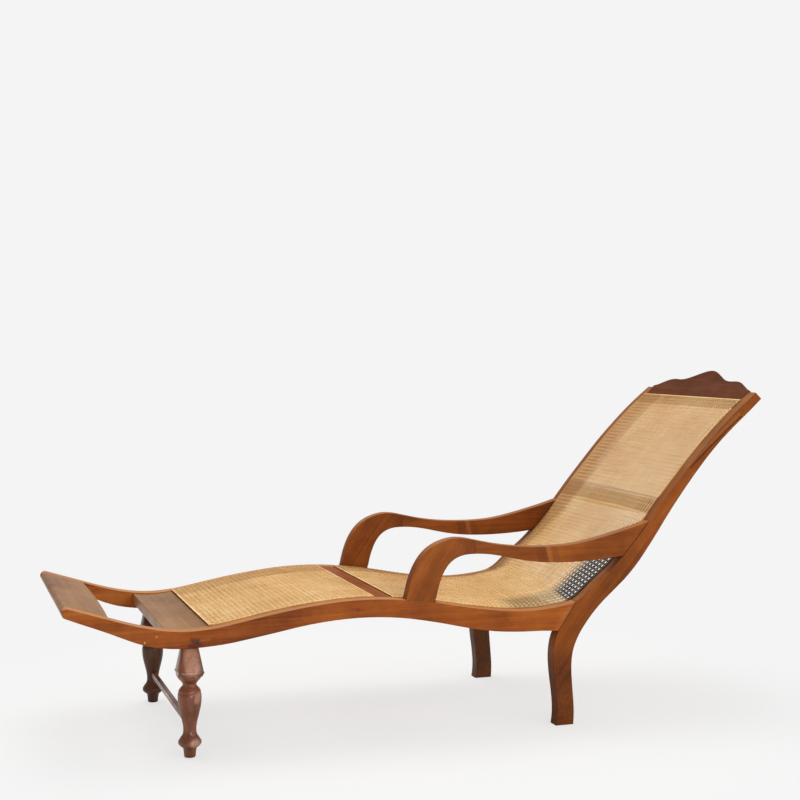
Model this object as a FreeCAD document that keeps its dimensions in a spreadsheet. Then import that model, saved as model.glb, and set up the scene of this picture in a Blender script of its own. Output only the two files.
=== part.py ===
# A planters chair: a long caned armchair with a fixed leg rest.
#
# Lengths are millimetres. A station is measured along the chair from the
# front of the foot board, and a height from the floor. The model's origin
# is on the floor, under the middle of the chair. -X is the foot end, +X the
# back, and -Y the sitter's left.
import FreeCAD, Part
import math
import os
import re
import Sketcher

# Driving sizes, each written once and kept in the sheet under its name.
SIZES = {
    "overall_width": 610,
    "side_thickness": 38,
    # side rail
    "nose_radius": 12,
    "nose_height": 363,
    "leg_station": 300,
    "dip_height": 305.5,
    "dip_depth": 41.5,
    "knee_station": 738,
    "knee_height": 357.5,
    "knee_depth": 45,
    "lap_station": 1185,
    "lap_height": 305,
    "lap_depth": 54.5,
    "seam_station": 1305,
    "seam_height": 321,
    "seam_run": 49,
    "seam_drop": 74,
    # back post: rear leg and back stile in one piece
    "stile_station": 1836,
    "stile_height": 858,
    "stile_end_depth": 24,
    "post_heel_station": 1300,
    "post_foot_width": 49,
    "post_ankle_station": 1242,
    "post_ankle_width": 53,
    "post_ankle_height": 165,
    "post_back_station": 1490,
    "post_back_height": 421,
    # arm
    "arm_thickness": 30,
    "arm_front_station": 841,
    "arm_base_width": 79,
    "arm_front_height": 350.5,
    "arm_rear_height": 339.5,
    "elbow_station": 975,
    "elbow_height": 500.5,
    "elbow_depth": 43,
    "arm_waist_station": 1245,
    "arm_waist_height": 468.5,
    "arm_waist_depth": 43,
    "elbow_joint_station": 1024,
    "rear_joint_station": 1223,
    "rear_joint_height": 448,
    "rear_joint_slant": 12,
    "arm_low_station": 1441,
    "arm_low_height": 434,
    "arm_high_station": 1517,
    "arm_high_height": 523,
    # front legs and stretcher
    "leg_block_top": 39,
    "leg_block_widest": 61,
    "leg_block_height": 205,
    "leg_shoulder_height": 195,
    "leg_neck_radius": 16.5,
    "leg_neck_height": 175,
    "leg_vase_radius": 28.5,
    "leg_vase_height": 143,
    "leg_ankle_radius": 15.5,
    "leg_ankle_height": 67,
    "leg_ring_radius": 28,
    "leg_ring_height": 36.5,
    "leg_foot_radius": 15,
    "stretcher_width": 12,
    "stretcher_depth": 15,
    "stretcher_height": 79,
    "stretcher_end": 4,
    # boards and cross rails
    "foot_board_reach": 111,
    "foot_board_bow": 6,
    "foot_board_thickness": 21,
    "foot_tenon_width": 48,
    "foot_tenon_lean": -17.8,
    "front_board_thickness": 28,
    "front_board_sink": 3,
    "front_tenon_width": 80,
    "knee_rail_thickness": 28,
    "knee_tenon_width": 50,
    "seat_rail_station": 1274,
    "seat_rail_width": 30,
    "seat_rail_depth": 42,
    "seat_rail_height": 250,
    "seat_tenon_width": 16,
    "seat_tenon_station": 1290,
    "seat_tenon_height": 261,
    "mid_rail_station": 1545,
    "mid_rail_height": 558,
    "mid_rail_width": 42,
    "mid_rail_thickness": 20,
    "mid_rail_lean": 51.5,
    "mid_tenon_width": 30,
    "crest_station": 1810,
    "crest_height": 836,
    "crest_peak": 105,
    "crest_drop": 25,
    "crest_thickness": 20,
    "crest_lean": 47,
    "crest_tenon_width": 34,
    # cane
    "cane_lap": 7.5,
    "cane_end_lap": 13,
    "cane_thickness": 2.4,
    "cane_gap": 0.25,
    # joints
    "tenon_depth": 12,
    "tenon_thickness": 12,
    "thin_tenon": 8,
    "joint_gap": 0.2,
    "leg_tenon_radius": 11,
    "leg_tenon_length": 17,
    "leg_seat_gap": 0.25,
    "tongue_length": 28,
    "tongue_height": 13,
    "post_tongue_station": 1281,
    "post_tongue_height": 280,
    "post_tongue_length": 62,
    "post_tongue_depth": 32,
    "arm_tenon_width": 54,
    "arm_tenon_height": 46,
    "stile_tenon_width": 48,
    "stile_tenon_depth": 36,
    "stile_tenon_root": 16,
    "peg_radius": 4,
    "post_peg_station": 1290,
    "post_peg_height": 276,
    "arm_peg_station": 1501,
    "arm_peg_height": 457,
    "cut_overrun": 3,
}

# Sizes worked out from the driving ones.
DERIVED = {
    "inner_half": "(overall_width / 2 - side_thickness)",
    "overall_length": "(crest_station + crest_peak * cos(crest_lean) + crest_thickness * sin(crest_lean))",
    "leg_line": "(overall_width / 2 - side_thickness / 2)",
    "leg_top": "(dip_height - dip_depth - leg_seat_gap)",
    "arm_rear_station": "(arm_front_station + arm_base_width)",
    "panel_half": "(inner_half + cane_lap)",
    "front_board_rear": "(leg_station + (knee_station - leg_station) * 0.1416)",
    "knee_rail_front": "(knee_station + (arm_front_station - knee_station) * 0.1456)",
    "knee_rail_rear": "(knee_station + (arm_front_station - knee_station) * 0.8738)",
    "leg_panel_start": "(front_board_rear - cane_end_lap)",
    "leg_panel_end": "(knee_rail_front + cane_end_lap)",
    "seat_panel_start": "(knee_rail_rear - cane_end_lap)",
    "seat_panel_end": "(crest_station - cane_thickness / 2)",
    "cane_top": "(cane_gap + cane_thickness)",
    "gap_twice": "(joint_gap * 2)",
}

doc = FreeCAD.newDocument("PlantersChair")
sheet = doc.addObject("Spreadsheet::Sheet", "Sizes")


def fill_sheet():
    """Write every driving size in a row of its own: name, then value."""
    for row, (name, size) in enumerate(SIZES.items(), 1):
        sheet.set(f"A{row}", name)
        sheet.set(f"B{row}", str(size))
        sheet.setAlias(f"B{row}", name)
    doc.recompute()


def spelled(text):
    """The expression with each worked-out size spelled in driving ones."""
    text = str(text)
    while True:
        longer = re.sub(r"[a-z_]+", lambda word: DERIVED.get(word.group(), word.group()), text)
        if longer == text:
            return text
        text = longer


def bound(text):
    """The expression as an object of the document reads it from the sheet."""
    return re.sub(r"[a-z_]+", lambda word: "Sizes." + word.group() if word.group() in SIZES
                  else word.group(), spelled(text))


def value(text):
    """The expression's present value."""
    return float(sheet.evalExpression(spelled(text)))


def bind(thing, **properties):
    """Bind properties of an object; a double underscore stands for a dot."""
    for name, text in properties.items():
        thing.setExpression(name.replace("__", "."), bound(text))


def between(start, end, run_share, rise_share):
    """A point at a share of the way from start to end, along and up."""
    return tuple(f"({a} + ({b} - ({a})) * {share})"
                 for a, b, share in zip(start, end, (run_share, rise_share)))


def along(point, lean, run, rise):
    """The point moved by a run up a slope and by a rise square to it."""
    return (f"({point[0]} + ({run}) * cos({lean}) - ({rise}) * sin({lean}))",
            f"({point[1]} + ({run}) * sin({lean}) + ({rise}) * cos({lean}))")


def lifted(points, lift):
    """The points of a line, each moved square to the line by a lift."""
    moved = []
    for index, point in enumerate(points):
        before, after = points[max(index - 1, 0)], points[min(index + 1, len(points) - 1)]
        run, rise = (f"({b} - ({a}))" for a, b in zip(before, after))
        length = f"sqrt({run} ^ 2 + {rise} ^ 2)"
        moved.append((f"({point[0]} - ({lift}) * {rise} / {length})",
                      f"({point[1]} + ({lift}) * {run} / {length})"))
    return moved


def plane_of(body, role):
    """One of the body's own origin planes."""
    return next(plane for plane in body.Origin.OriginFeatures if plane.Role == role)


def turned(thing, axis, angle):
    """Turn a placed thing about an axis by a bound angle."""
    thing.Placement = FreeCAD.Placement(FreeCAD.Vector(), FreeCAD.Rotation(FreeCAD.Vector(*axis), 1))
    bind(thing, Placement__Rotation__Angle=angle)


def new_body(label, y="0", station="0", height="0", lean=None):
    """A body in the chair's frame; y is where its own XZ plane stands."""
    body = doc.addObject("PartDesign::Body", label)
    body.Label = label
    if lean is not None:
        turned(body, (0, -1, 0), lean)
    bind(body, Placement__Base__x=f"({station}) - overall_length / 2",
         Placement__Base__y=y, Placement__Base__z=height)
    return body


# A stretch is drawn straight when its radius is this many times its length,
# and is split in two while an arc would leave the line by more than this turn.
FLAT_SHARE = 60
TURN_SHARE = 0.035


def bow_radius(low, through, high):
    """The radius of the arc through three places."""
    sides = [(low - through).Length, (high - through).Length, (high - low).Length]
    area = (through - low).cross(high - low).Length
    return sides[0] * sides[1] * sides[2] / (2 * area) if area else float("inf")


def chord_point(start, end, place, low, high):
    """A place near a chord, written in shares of the chord."""
    chord, offset = high - low, place - low
    run_share = offset.dot(chord) / chord.Length ** 2
    side_share = chord.cross(offset).z / chord.Length ** 2
    run, rise = (f"({b} - ({a}))" for a, b in zip(start, end))
    return (f"({start[0]} + {run} * {run_share:.6f} - {rise} * {side_share:.6f})",
            f"({start[1]} + {rise} * {run_share:.6f} + {run} * {side_share:.6f})")


def split_span(spline, first, last, start, end):
    """The arcs that follow a spline between two of its points."""
    half = (first + last) / 2
    low, through, high = (spline.value(where) for where in (first, half, last))
    leave = turn_between(spline.tangent(first)[0], high - low)
    arrive = turn_between(high - low, spline.tangent(last)[0])
    if abs(leave - arrive) / 2 < TURN_SHARE:
        return [(start, through, end)]
    middle = chord_point(start, end, through, low, high)
    return (split_span(spline, first, half, start, middle)
            + split_span(spline, half, last, middle, end))


def turn_between(one, other):
    """The signed turn from one direction to another."""
    return math.atan2(one.cross(other).z, one.dot(other))


class Outline:
    """A closed outline in a sketch, with its points bound to the sheet."""

    def __init__(self, body, name, role="XZ_Plane", offset=None):
        self.sketch = body.newObject("Sketcher::SketchObject", name)
        self.sketch.AttachmentSupport = [(plane_of(body, role), "")]
        self.sketch.MapMode = "FlatFace"
        if offset is not None:
            bind(self.sketch, AttachmentOffset__Base__z=offset)
        self.edges = []
        self.held = []

    def vector(self, point):
        return FreeCAD.Vector(value(point[0]), value(point[1]), 0)

    def pin(self, geometry, end, point):
        """Hold one point of the sketch at its station and height."""
        for kind, text in zip(("DistanceX", "DistanceY"), point):
            self.held.append((Sketcher.Constraint(kind, -1, 1, geometry, end, value(text)), text))

    def curve(self, points, start_slope=None, end_slope=None, back=False):
        """A smooth line through the points, made of arcs that end on them."""
        spline = Part.BSplineCurve()
        ends = {}
        if start_slope is not None:
            ends["InitialTangent"] = FreeCAD.Vector(1, start_slope, 0)
            ends["FinalTangent"] = FreeCAD.Vector(1, end_slope, 0)
        spline.interpolate(Points=[self.vector(point) for point in points], **ends)
        knots = [spline.parameter(self.vector(point)) for point in points]
        spans = []
        for first, last, start, end in zip(knots, knots[1:], points, points[1:]):
            spans += split_span(spline, first, last, start, end)
        for span in (reversed(spans) if back else spans):
            self.bow(*span, back)
        return self

    def bow(self, start, middle, end, back=False):
        """An arc between two points; its radius is a share of their distance."""
        low, through, high = self.vector(start), middle, self.vector(end)
        chord = high - low
        share = bow_radius(low, through, high) / chord.Length
        if share > FLAT_SHARE:
            self.line(end, start) if back else self.line(start, end)
            return
        run, rise = (f"({b} - ({a}))" for a, b in zip(start, end))
        radius = f"sqrt({run} ^ 2 + {rise} ^ 2) * {share:.6f}"
        self.arc(*((end, through, start) if back else (start, through, end)), radius)

    def line(self, start, end):
        """A straight edge; its start is pinned when no curve ends there."""
        number = self.sketch.addGeometry(Part.LineSegment(self.vector(start), self.vector(end)), False)
        self.edges.append((number, 1, start))
        return self

    def path(self, corners):
        """Straight edges from corner to corner."""
        for start, end in zip(corners, corners[1:]):
            self.line(start, end)

    def arc(self, start, through, end, radius):
        """A round edge of a named radius, bulging toward a place."""
        bow = Part.Arc(self.vector(start), through, self.vector(end))
        number = self.sketch.addGeometry(bow, False)
        self.held.append((Sketcher.Constraint("Radius", number, value(radius)), radius))
        first = self.sketch.getPoint(number, 1).distanceToPoint(self.vector(start))
        last = self.sketch.getPoint(number, 2).distanceToPoint(self.vector(start))
        self.edges.append((number, 1 if first < last else 2, start))
        return self

    def close(self):
        """Join each edge to the next and pin every joint."""
        joints = []
        for index, (number, end, start) in enumerate(self.edges):
            before, before_end, _ = self.edges[index - 1]
            joints.append(Sketcher.Constraint("Coincident", before, 3 - before_end, number, end))
            self.pin(number, end, start)
        self.sketch.addConstraint(joints)
        numbers = self.sketch.addConstraint([constraint for constraint, text in self.held])
        for number, (constraint, text) in zip(numbers, self.held):
            self.sketch.setExpression(f"Constraints[{number}]", bound(text))
        return self.sketch


def polygon(body, name, corners, role="XZ_Plane", offset=None):
    """A straight-sided outline."""
    outline = Outline(body, name, role, offset)
    for start, end in zip(corners, corners[1:] + corners[:1]):
        outline.line(start, end)
    return outline.close()


def feature_of(body, kind, sketch, **properties):
    """A pad, pocket or revolution of an outline."""
    feature = body.newObject(f"PartDesign::{kind}", sketch.Name + kind)
    feature.Profile = sketch
    bind(feature, **properties)
    return feature


def pad(body, sketch, length, middle=False):
    """Thicken an outline across the chair."""
    feature = feature_of(body, "Pad", sketch, Length=length)
    feature.Midplane = middle
    return feature


def cut(body, sketch):
    """Cut an outline right through the piece."""
    feature = feature_of(body, "Pocket", sketch)
    feature.Type = "ThroughAll"
    feature.Midplane = True
    return feature


def block(body, kind, name, centre, y, length, width, depth, lean=None):
    """A tenon (Additive) or mortise (Subtractive) about a centre; y is its low side."""
    feature = body.newObject(f"PartDesign::{kind}Box", name)
    if lean is not None:
        turned(feature, (0, -1, 0), lean)
    station, height = along(centre, lean or "0", f"-({length}) / 2", f"-({depth}) / 2")
    bind(feature, Length=length, Width=width, Height=depth,
         Placement__Base__x=station, Placement__Base__y=y, Placement__Base__z=height)
    return feature


def loose(size):
    """A mortise's size: its tenon's, with the joint gap on both sides."""
    return f"({size}) + gap_twice"


def hole(body, name, station, height, radius, y, length):
    """A round hole across a side frame."""
    feature = body.newObject("PartDesign::SubtractiveCylinder", name)
    feature.Placement = FreeCAD.Placement(FreeCAD.Vector(), FreeCAD.Rotation(FreeCAD.Vector(1, 0, 0), -90))
    bind(feature, Radius=radius, Height=length, Placement__Base__x=station,
         Placement__Base__y=y, Placement__Base__z=height)
    return feature


def through_hole(body, name, station, height):
    """A peg's hole, right through a side frame."""
    return hole(body, name, station, height, "peg_radius + joint_gap / 2",
                "-side_thickness - cut_overrun", "side_thickness + cut_overrun * 2")


# Each side frame stands between its body's own y = 0 and -side_thickness.
SIDES = {"left": "-inner_half", "right": "overall_width / 2"}
# The arms are thinner and flush with the outer faces.
ARM_SIDES = {"left": "arm_thickness - overall_width / 2", "right": "overall_width / 2"}
# The middle of an arm's thickness, in a side frame's own y.
ARM_MIDS = {"left": "arm_thickness / 2 - side_thickness", "right": "-arm_thickness / 2"}


def inner_mortise(body, side, name, centre, length, depth, lean=None):
    """A mortise in a side frame's inner face, a gap larger than its tenon."""
    start = "-tenon_depth - joint_gap" if side == "left" else "-side_thickness - cut_overrun"
    block(body, "Subtractive", name, centre, start, loose(length),
          "tenon_depth + joint_gap + cut_overrun", loose(depth), lean)


def middle_block(body, kind, name, centre, middle, length, width, depth, lean=None):
    """A block about a middle in y as well."""
    block(body, kind, name, centre, f"({middle}) - ({width}) / 2", length, width, depth, lean)


def end_tenons(body, centre, length, depth, lean=None):
    """One long block that stands out of both ends of a cross piece."""
    middle_block(body, "Additive", "Tenons_" + body.Label, centre, "0", length,
                 "(inner_half + tenon_depth) * 2", depth, lean)


# Points of a side frame: foot end, dip over the leg, knee, lap, then the stile.
NOSE_TOP = ("nose_radius * 1.31", "(nose_height + nose_radius * 0.95)")
NOSE_TIP = ("0", "nose_height")
NOSE_LOW = ("nose_radius * 0.59", "(nose_height - nose_radius * 0.91)")
DIP = ("leg_station", "dip_height")
DIP_LOW = ("leg_station", "(dip_height - dip_depth)")
KNEE = ("knee_station", "knee_height")
KNEE_LOW = ("(knee_station - knee_depth / 2)", "(knee_height - knee_depth)")
ARM_FRONT = ("arm_front_station", "arm_front_height")
ARM_REAR = ("arm_rear_station", "arm_rear_height")
LAP = ("lap_station", "lap_height")
LAP_LOW = ("lap_station", "(lap_height - lap_depth)")
SEAM = ("seam_station", "seam_height")
SEAM_LOW = ("(seam_station - seam_run)", "(seam_height - seam_drop)")
ARM_LOW = ("arm_low_station", "arm_low_height")
ARM_HIGH = ("arm_high_station", "arm_high_height")
STILE = ("stile_station", "stile_height")
STILE_REAR = ("(stile_station + stile_end_depth * 0.72)", "(stile_height - stile_end_depth * 0.7)")

# The lines of the top, each with its slopes at both ends.
FOOT_LINE = ([NOSE_TOP, between(NOSE_TOP, DIP, 0.356, 0.473), between(NOSE_TOP, DIP, 0.578, 0.75),
              between(NOSE_TOP, DIP, 0.813, 0.945), DIP], -0.33, 0)
LEG_LINE = ([DIP, between(DIP, KNEE, 0.21, 0.175), between(DIP, KNEE, 0.46, 0.57),
             between(DIP, KNEE, 0.73, 0.885), KNEE], 0, 0)
SEAT_LINE = ([KNEE, ARM_FRONT, between(ARM_FRONT, ARM_REAR, 0.5, 0.43), ARM_REAR,
              between(ARM_REAR, LAP, 0.36, 0.52), between(ARM_REAR, LAP, 0.68, 0.875), LAP], 0, 0)
LAP_LINE = ([LAP, between(LAP, SEAM, 0.5, 0.26), SEAM], 0, 0.45)
BACK_LINE = ([SEAM, between(SEAM, ARM_LOW, 0.36, 0.335), between(SEAM, ARM_LOW, 0.6985, 0.665),
              ARM_LOW, between(ARM_LOW, ARM_HIGH, 0.513, 0.4775), ARM_HIGH,
              between(ARM_HIGH, STILE, 0.1254, 0.1507), between(ARM_HIGH, STILE, 0.2915, 0.3373),
              between(ARM_HIGH, STILE, 0.4608, 0.5224), between(ARM_HIGH, STILE, 0.627, 0.6866),
              between(ARM_HIGH, STILE, 0.7712, 0.8179), between(ARM_HIGH, STILE, 0.9091, 0.9299),
              STILE], 0.45, 0.83)
# The lines of the underside and the back.
LOW_LINE = [NOSE_LOW, between(NOSE_LOW, DIP_LOW, 0.16, 0.215), between(NOSE_LOW, DIP_LOW, 0.345, 0.46),
            between(NOSE_LOW, DIP_LOW, 0.66, 0.875), DIP_LOW, between(DIP_LOW, KNEE_LOW, 0.25, 0.15),
            between(DIP_LOW, KNEE_LOW, 0.63, 0.71), KNEE_LOW, between(KNEE_LOW, LAP_LOW, 0.3, 0.17),
            between(KNEE_LOW, LAP_LOW, 0.55, 0.56), between(KNEE_LOW, LAP_LOW, 0.78, 0.9), LAP_LOW,
            SEAM_LOW]
HEEL = ("post_heel_station", "0")
TOE = ("(post_heel_station - post_foot_width)", "0")
ANKLE = ("post_ankle_station", "post_ankle_height")
ANKLE_REAR = ("(post_ankle_station + post_ankle_width)", "(post_ankle_height * 0.75)")
POST_BACK = ("post_back_station", "post_back_height")
REAR_LINE = [HEEL, ANKLE_REAR, between(ANKLE_REAR, POST_BACK, 0.027, 0.255),
             between(ANKLE_REAR, POST_BACK, 0.164, 0.433), between(ANKLE_REAR, POST_BACK, 0.467, 0.661),
             between(ANKLE_REAR, POST_BACK, 0.764, 0.831), POST_BACK,
             between(POST_BACK, STILE_REAR, 0.201, 0.245), between(POST_BACK, STILE_REAR, 0.472, 0.555),
             between(POST_BACK, STILE_REAR, 0.669, 0.744), between(POST_BACK, STILE_REAR, 0.862, 0.893),
             STILE_REAR]
SHIN_LINE = [SEAM_LOW, between(SEAM_LOW, ANKLE, 0.69, 0.34), ANKLE, between(ANKLE, TOE, 0.8, 0.4), TOE]


def lifted_lines(lines, lift):
    """Lines that follow one another, all lifted off the top together."""
    joined = [lines[0][0][0]] + [point for line in lines for point in line[0][1:]]
    moved = lifted(joined, lift)
    first = 0
    result = []
    for points, start_slope, end_slope in lines:
        last = first + len(points) - 1
        result.append((moved[first:last + 1], start_slope, end_slope))
        first = last
    return result


def draw(outline, lines):
    """Add lines to an outline in their order."""
    for line in lines:
        outline.curve(*line)


def draw_back(outline, lines):
    """Add lines to an outline from the last to the first."""
    for line in reversed(lines):
        outline.curve(*line, back=True)


def cut_off(body, name, lines, lift, far, near):
    """Cut away what lies below lifted lines, down to two far corners."""
    moved = lifted_lines(lines, lift)
    outline = Outline(body, name)
    draw(outline, moved)
    outline.line(moved[-1][0][-1], far)
    outline.line(far, near)
    outline.line(near, moved[0][0][0])
    cut(body, outline.close())


def cut_box(body, name, low, high):
    """Cut away, right across the piece, between two corners."""
    cut(body, polygon(body, name, [low, (high[0], low[1]), high, (low[0], high[1])]))


# Where the cross pieces and the post meet the side frames.
FOOT_TENON = between(NOSE_TOP, DIP, 0.156, 0.363)
FRONT_TENON = ("(leg_station + front_tenon_width * 0.08)",
               "(dip_height - front_board_sink - front_board_thickness / 2)")
FRONT_TOP = [between(NOSE_TOP, DIP, 0.8065, 0.9846), ("leg_station", "(dip_height - front_board_sink)"),
             between(DIP, KNEE, 0.1005, 0.018), ("front_board_rear", between(DIP, KNEE, 0, 0.0838)[1])]
KNEE_TOP = [("knee_rail_front", between(KNEE, ARM_FRONT, 0, 0.0414)[1]),
            between(KNEE, ARM_FRONT, 0.3277, 0.15), between(KNEE, ARM_FRONT, 0.5049, 0.3157),
            ("knee_rail_rear", between(KNEE, ARM_FRONT, 0, 0.8157)[1])]
KNEE_TENON = ("((knee_rail_front + knee_rail_rear) / 2)",
              "(knee_height - knee_rail_thickness * 0.6)")
SEAT_TENON = ("seat_tenon_station", "seat_tenon_height")
POST_TONGUE = ("post_tongue_station", "post_tongue_height")
# Shares of an arm's own lines between its anchor points.
ELBOW = ("elbow_station", "elbow_height")
ELBOW_LOW = ("elbow_joint_station", "(elbow_height - elbow_depth)")
WAIST = ("arm_waist_station", "arm_waist_height")
WAIST_LOW = ("arm_waist_station", "(arm_waist_height - arm_waist_depth)")
ARM_TOP = [between(ARM_FRONT, ELBOW, -0.022, -0.09), between(ARM_FRONT, ELBOW, 0.052, 0.21),
           between(ARM_FRONT, ELBOW, 0.134, 0.437), between(ARM_FRONT, ELBOW, 0.261, 0.65),
           between(ARM_FRONT, ELBOW, 0.44, 0.825), between(ARM_FRONT, ELBOW, 0.69, 0.945), ELBOW,
           between(ELBOW, WAIST, 0.152, 0.17), between(ELBOW, WAIST, 0.315, 0.484),
           between(ELBOW, WAIST, 0.5, 0.766), between(ELBOW, WAIST, 0.722, 0.953), WAIST,
           between(WAIST, ARM_HIGH, 0.202, 0.055), between(WAIST, ARM_HIGH, 0.393, 0.211),
           between(WAIST, ARM_HIGH, 0.676, 0.541), ARM_HIGH, between(WAIST, ARM_HIGH, 1.1, 1.17)]
ARM_UNDER = [between(ARM_REAR, ELBOW_LOW, -0.03, -0.123), between(ARM_REAR, ELBOW_LOW, 0.053, 0.258),
             between(ARM_REAR, ELBOW_LOW, 0.163, 0.547), between(ARM_REAR, ELBOW_LOW, 0.337, 0.8),
             between(ARM_REAR, ELBOW_LOW, 0.615, 0.958), ELBOW_LOW,
             between(ELBOW_LOW, WAIST_LOW, 0.226, 0.13), between(ELBOW_LOW, WAIST_LOW, 0.457, 0.466),
             between(ELBOW_LOW, WAIST_LOW, 0.706, 0.807), WAIST_LOW,
             between(WAIST_LOW, ARM_LOW, 0.332, -0.11), between(WAIST_LOW, ARM_LOW, 0.679, 0.24),
             ARM_LOW, between(WAIST_LOW, ARM_LOW, 1.17, 1.7)]
ARM_MID = between(ARM_LOW, ARM_HIGH, 0.513, 0.4775)
STILE_LEAN = "atan2(arm_high_height - arm_low_height; arm_high_station - arm_low_station)"
STILE_TENON = along(ARM_MID, STILE_LEAN, "0", "(stile_tenon_root - stile_tenon_depth) / 2")
ARM_TENON = between(ARM_FRONT, ARM_REAR, 0.46, 0.86)
ELBOW_TONGUE = ("elbow_joint_station", "(elbow_height - elbow_depth * 0.6)")
REAR_TONGUE = ("rear_joint_station", "rear_joint_height")
CREST_TENON = along(("crest_station", "crest_height"), "crest_lean", "0", "-crest_thickness / 2")
MID_TENON = along(("mid_rail_station", "mid_rail_height"), "mid_rail_lean", "0", "-mid_rail_thickness / 2")



# Cane panels: the lines that each one follows and its two end stations.
PANELS = {
    "leg": ([LEG_LINE, SEAT_LINE], "leg_panel_start", "leg_panel_end"),
    "seat": ([SEAT_LINE, LAP_LINE, BACK_LINE], "seat_panel_start", "seat_panel_end"),
}


def side_rail(side):
    """The S-shaped rail: foot end, dip, knee and lap, up to the back post."""
    body = new_body(f"side_rail_{side}", SIDES[side])
    outline = Outline(body, f"RailOutline_{side}")
    draw(outline, [FOOT_LINE, LEG_LINE, SEAT_LINE, LAP_LINE])
    outline.line(SEAM, SEAM_LOW)
    outline.curve(LOW_LINE, -0.42, -0.1, back=True)
    outline.arc(NOSE_LOW, outline.vector(NOSE_TIP), NOSE_TOP, "nose_radius")
    pad(body, outline.close(), "side_thickness")
    middle_block(body, "Additive", f"PostTongue_{side}", POST_TONGUE, "-side_thickness / 2",
                 "post_tongue_length", "tenon_thickness", "post_tongue_depth")
    through_hole(body, f"PostPegHole_{side}", "post_peg_station", "post_peg_height")
    inner_mortise(body, side, f"FootMortise_{side}", FOOT_TENON, "foot_tenon_width", "thin_tenon",
                  "foot_tenon_lean")
    inner_mortise(body, side, f"FrontMortise_{side}", FRONT_TENON, "front_tenon_width", "tenon_thickness")
    inner_mortise(body, side, f"KneeMortise_{side}", KNEE_TENON, "knee_tenon_width", "tenon_thickness")
    middle_block(body, "Subtractive", f"ArmMortise_{side}", ARM_TENON, ARM_MIDS[side],
                 loose("arm_tenon_width"), loose("tenon_thickness"), loose("arm_tenon_height"))
    leg_mortise(body, side)
    return body


def leg_mortise(body, side):
    """The round hole for the leg's tenon, from below."""
    feature = body.newObject("PartDesign::SubtractiveCylinder", f"LegMortise_{side}")
    bind(feature, Radius="leg_tenon_radius + joint_gap", Height="leg_tenon_length + joint_gap * 2",
         Placement__Base__x="leg_station", Placement__Base__y="-side_thickness / 2",
         Placement__Base__z="leg_top")


def back_post(side):
    """Rear leg and back stile, cut from one curved plank."""
    body = new_body(f"back_post_{side}", SIDES[side])
    outline = Outline(body, f"PostOutline_{side}")
    outline.curve(*BACK_LINE)
    outline.line(STILE, STILE_REAR)
    outline.curve(REAR_LINE, back=True)
    outline.line(HEEL, TOE)
    outline.curve(SHIN_LINE, back=True)
    outline.line(SEAM_LOW, SEAM)
    pad(body, outline.close(), "side_thickness")
    middle_block(body, "Subtractive", f"TongueSlot_{side}", POST_TONGUE, "-side_thickness / 2",
                 loose("post_tongue_length"), loose("tenon_thickness"), loose("post_tongue_depth"))
    through_hole(body, f"PegHole_{side}", "post_peg_station", "post_peg_height")
    inner_mortise(body, side, f"SeatMortise_{side}", SEAT_TENON, "seat_tenon_width", "seat_tenon_width")
    inner_mortise(body, side, f"MidMortise_{side}", MID_TENON, "mid_tenon_width", "thin_tenon",
                  "mid_rail_lean")
    inner_mortise(body, side, f"CrestMortise_{side}", CREST_TENON, "crest_tenon_width", "thin_tenon",
                  "crest_lean")
    middle_block(body, "Subtractive", f"StileMortise_{side}", STILE_TENON, ARM_MIDS[side],
                 loose("stile_tenon_width"), loose("tenon_thickness"),
                 loose("stile_tenon_root + stile_tenon_depth"), STILE_LEAN)
    through_hole(body, f"ArmPegHole_{side}", "arm_peg_station", "arm_peg_height")
    return body


def arm_blank(name, side):
    """A whole arm's outline, thickened; each piece keeps its own stretch."""
    body = new_body(f"{name}_{side}", ARM_SIDES[side])
    outline = Outline(body, f"ArmOutline_{name}_{side}")
    outline.curve(ARM_TOP)
    outline.line(ARM_TOP[-1], ARM_UNDER[-1])
    outline.curve(ARM_UNDER, back=True)
    outline.line(ARM_UNDER[0], ARM_TOP[0])
    pad(body, outline.close(), "arm_thickness")
    return body


def rear_joint(height):
    """Where the slanted joint is at a height."""
    return (f"(rear_joint_station - ({height} - rear_joint_height) * rear_joint_slant / arm_waist_depth)",
            height)


ARM_FLOOR = "(arm_waist_height - arm_waist_depth * 4)"
ARM_CEILING = "(elbow_height + elbow_depth * 2)"
ARM_END = "(arm_high_station + arm_waist_depth * 2)"
ARM_START = "(arm_front_station - arm_waist_depth)"


def arm_elbow(side):
    """The arm's upright and its bend, standing on the rail."""
    body = arm_blank("arm_elbow", side)
    cut_box(body, f"ElbowEnd_{side}", ("elbow_joint_station", ARM_FLOOR), (ARM_END, ARM_CEILING))
    low = "(arm_rear_height - arm_tenon_height)"
    far, near = ("lap_station", low), ("knee_station", low)
    cut_off(body, f"ElbowFoot_{side}", [SEAT_LINE], "joint_gap", far, near)
    tongue = ("-arm_thickness / 2", "tongue_length * 2", "thin_tenon", "tongue_height")
    middle_block(body, "Additive", f"ElbowTongue_{side}", ELBOW_TONGUE, *tongue)
    middle_block(body, "Additive", f"ArmTenon_{side}", ARM_TENON, "-arm_thickness / 2",
                 "arm_tenon_width", "tenon_thickness", "arm_tenon_height")
    return body


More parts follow.
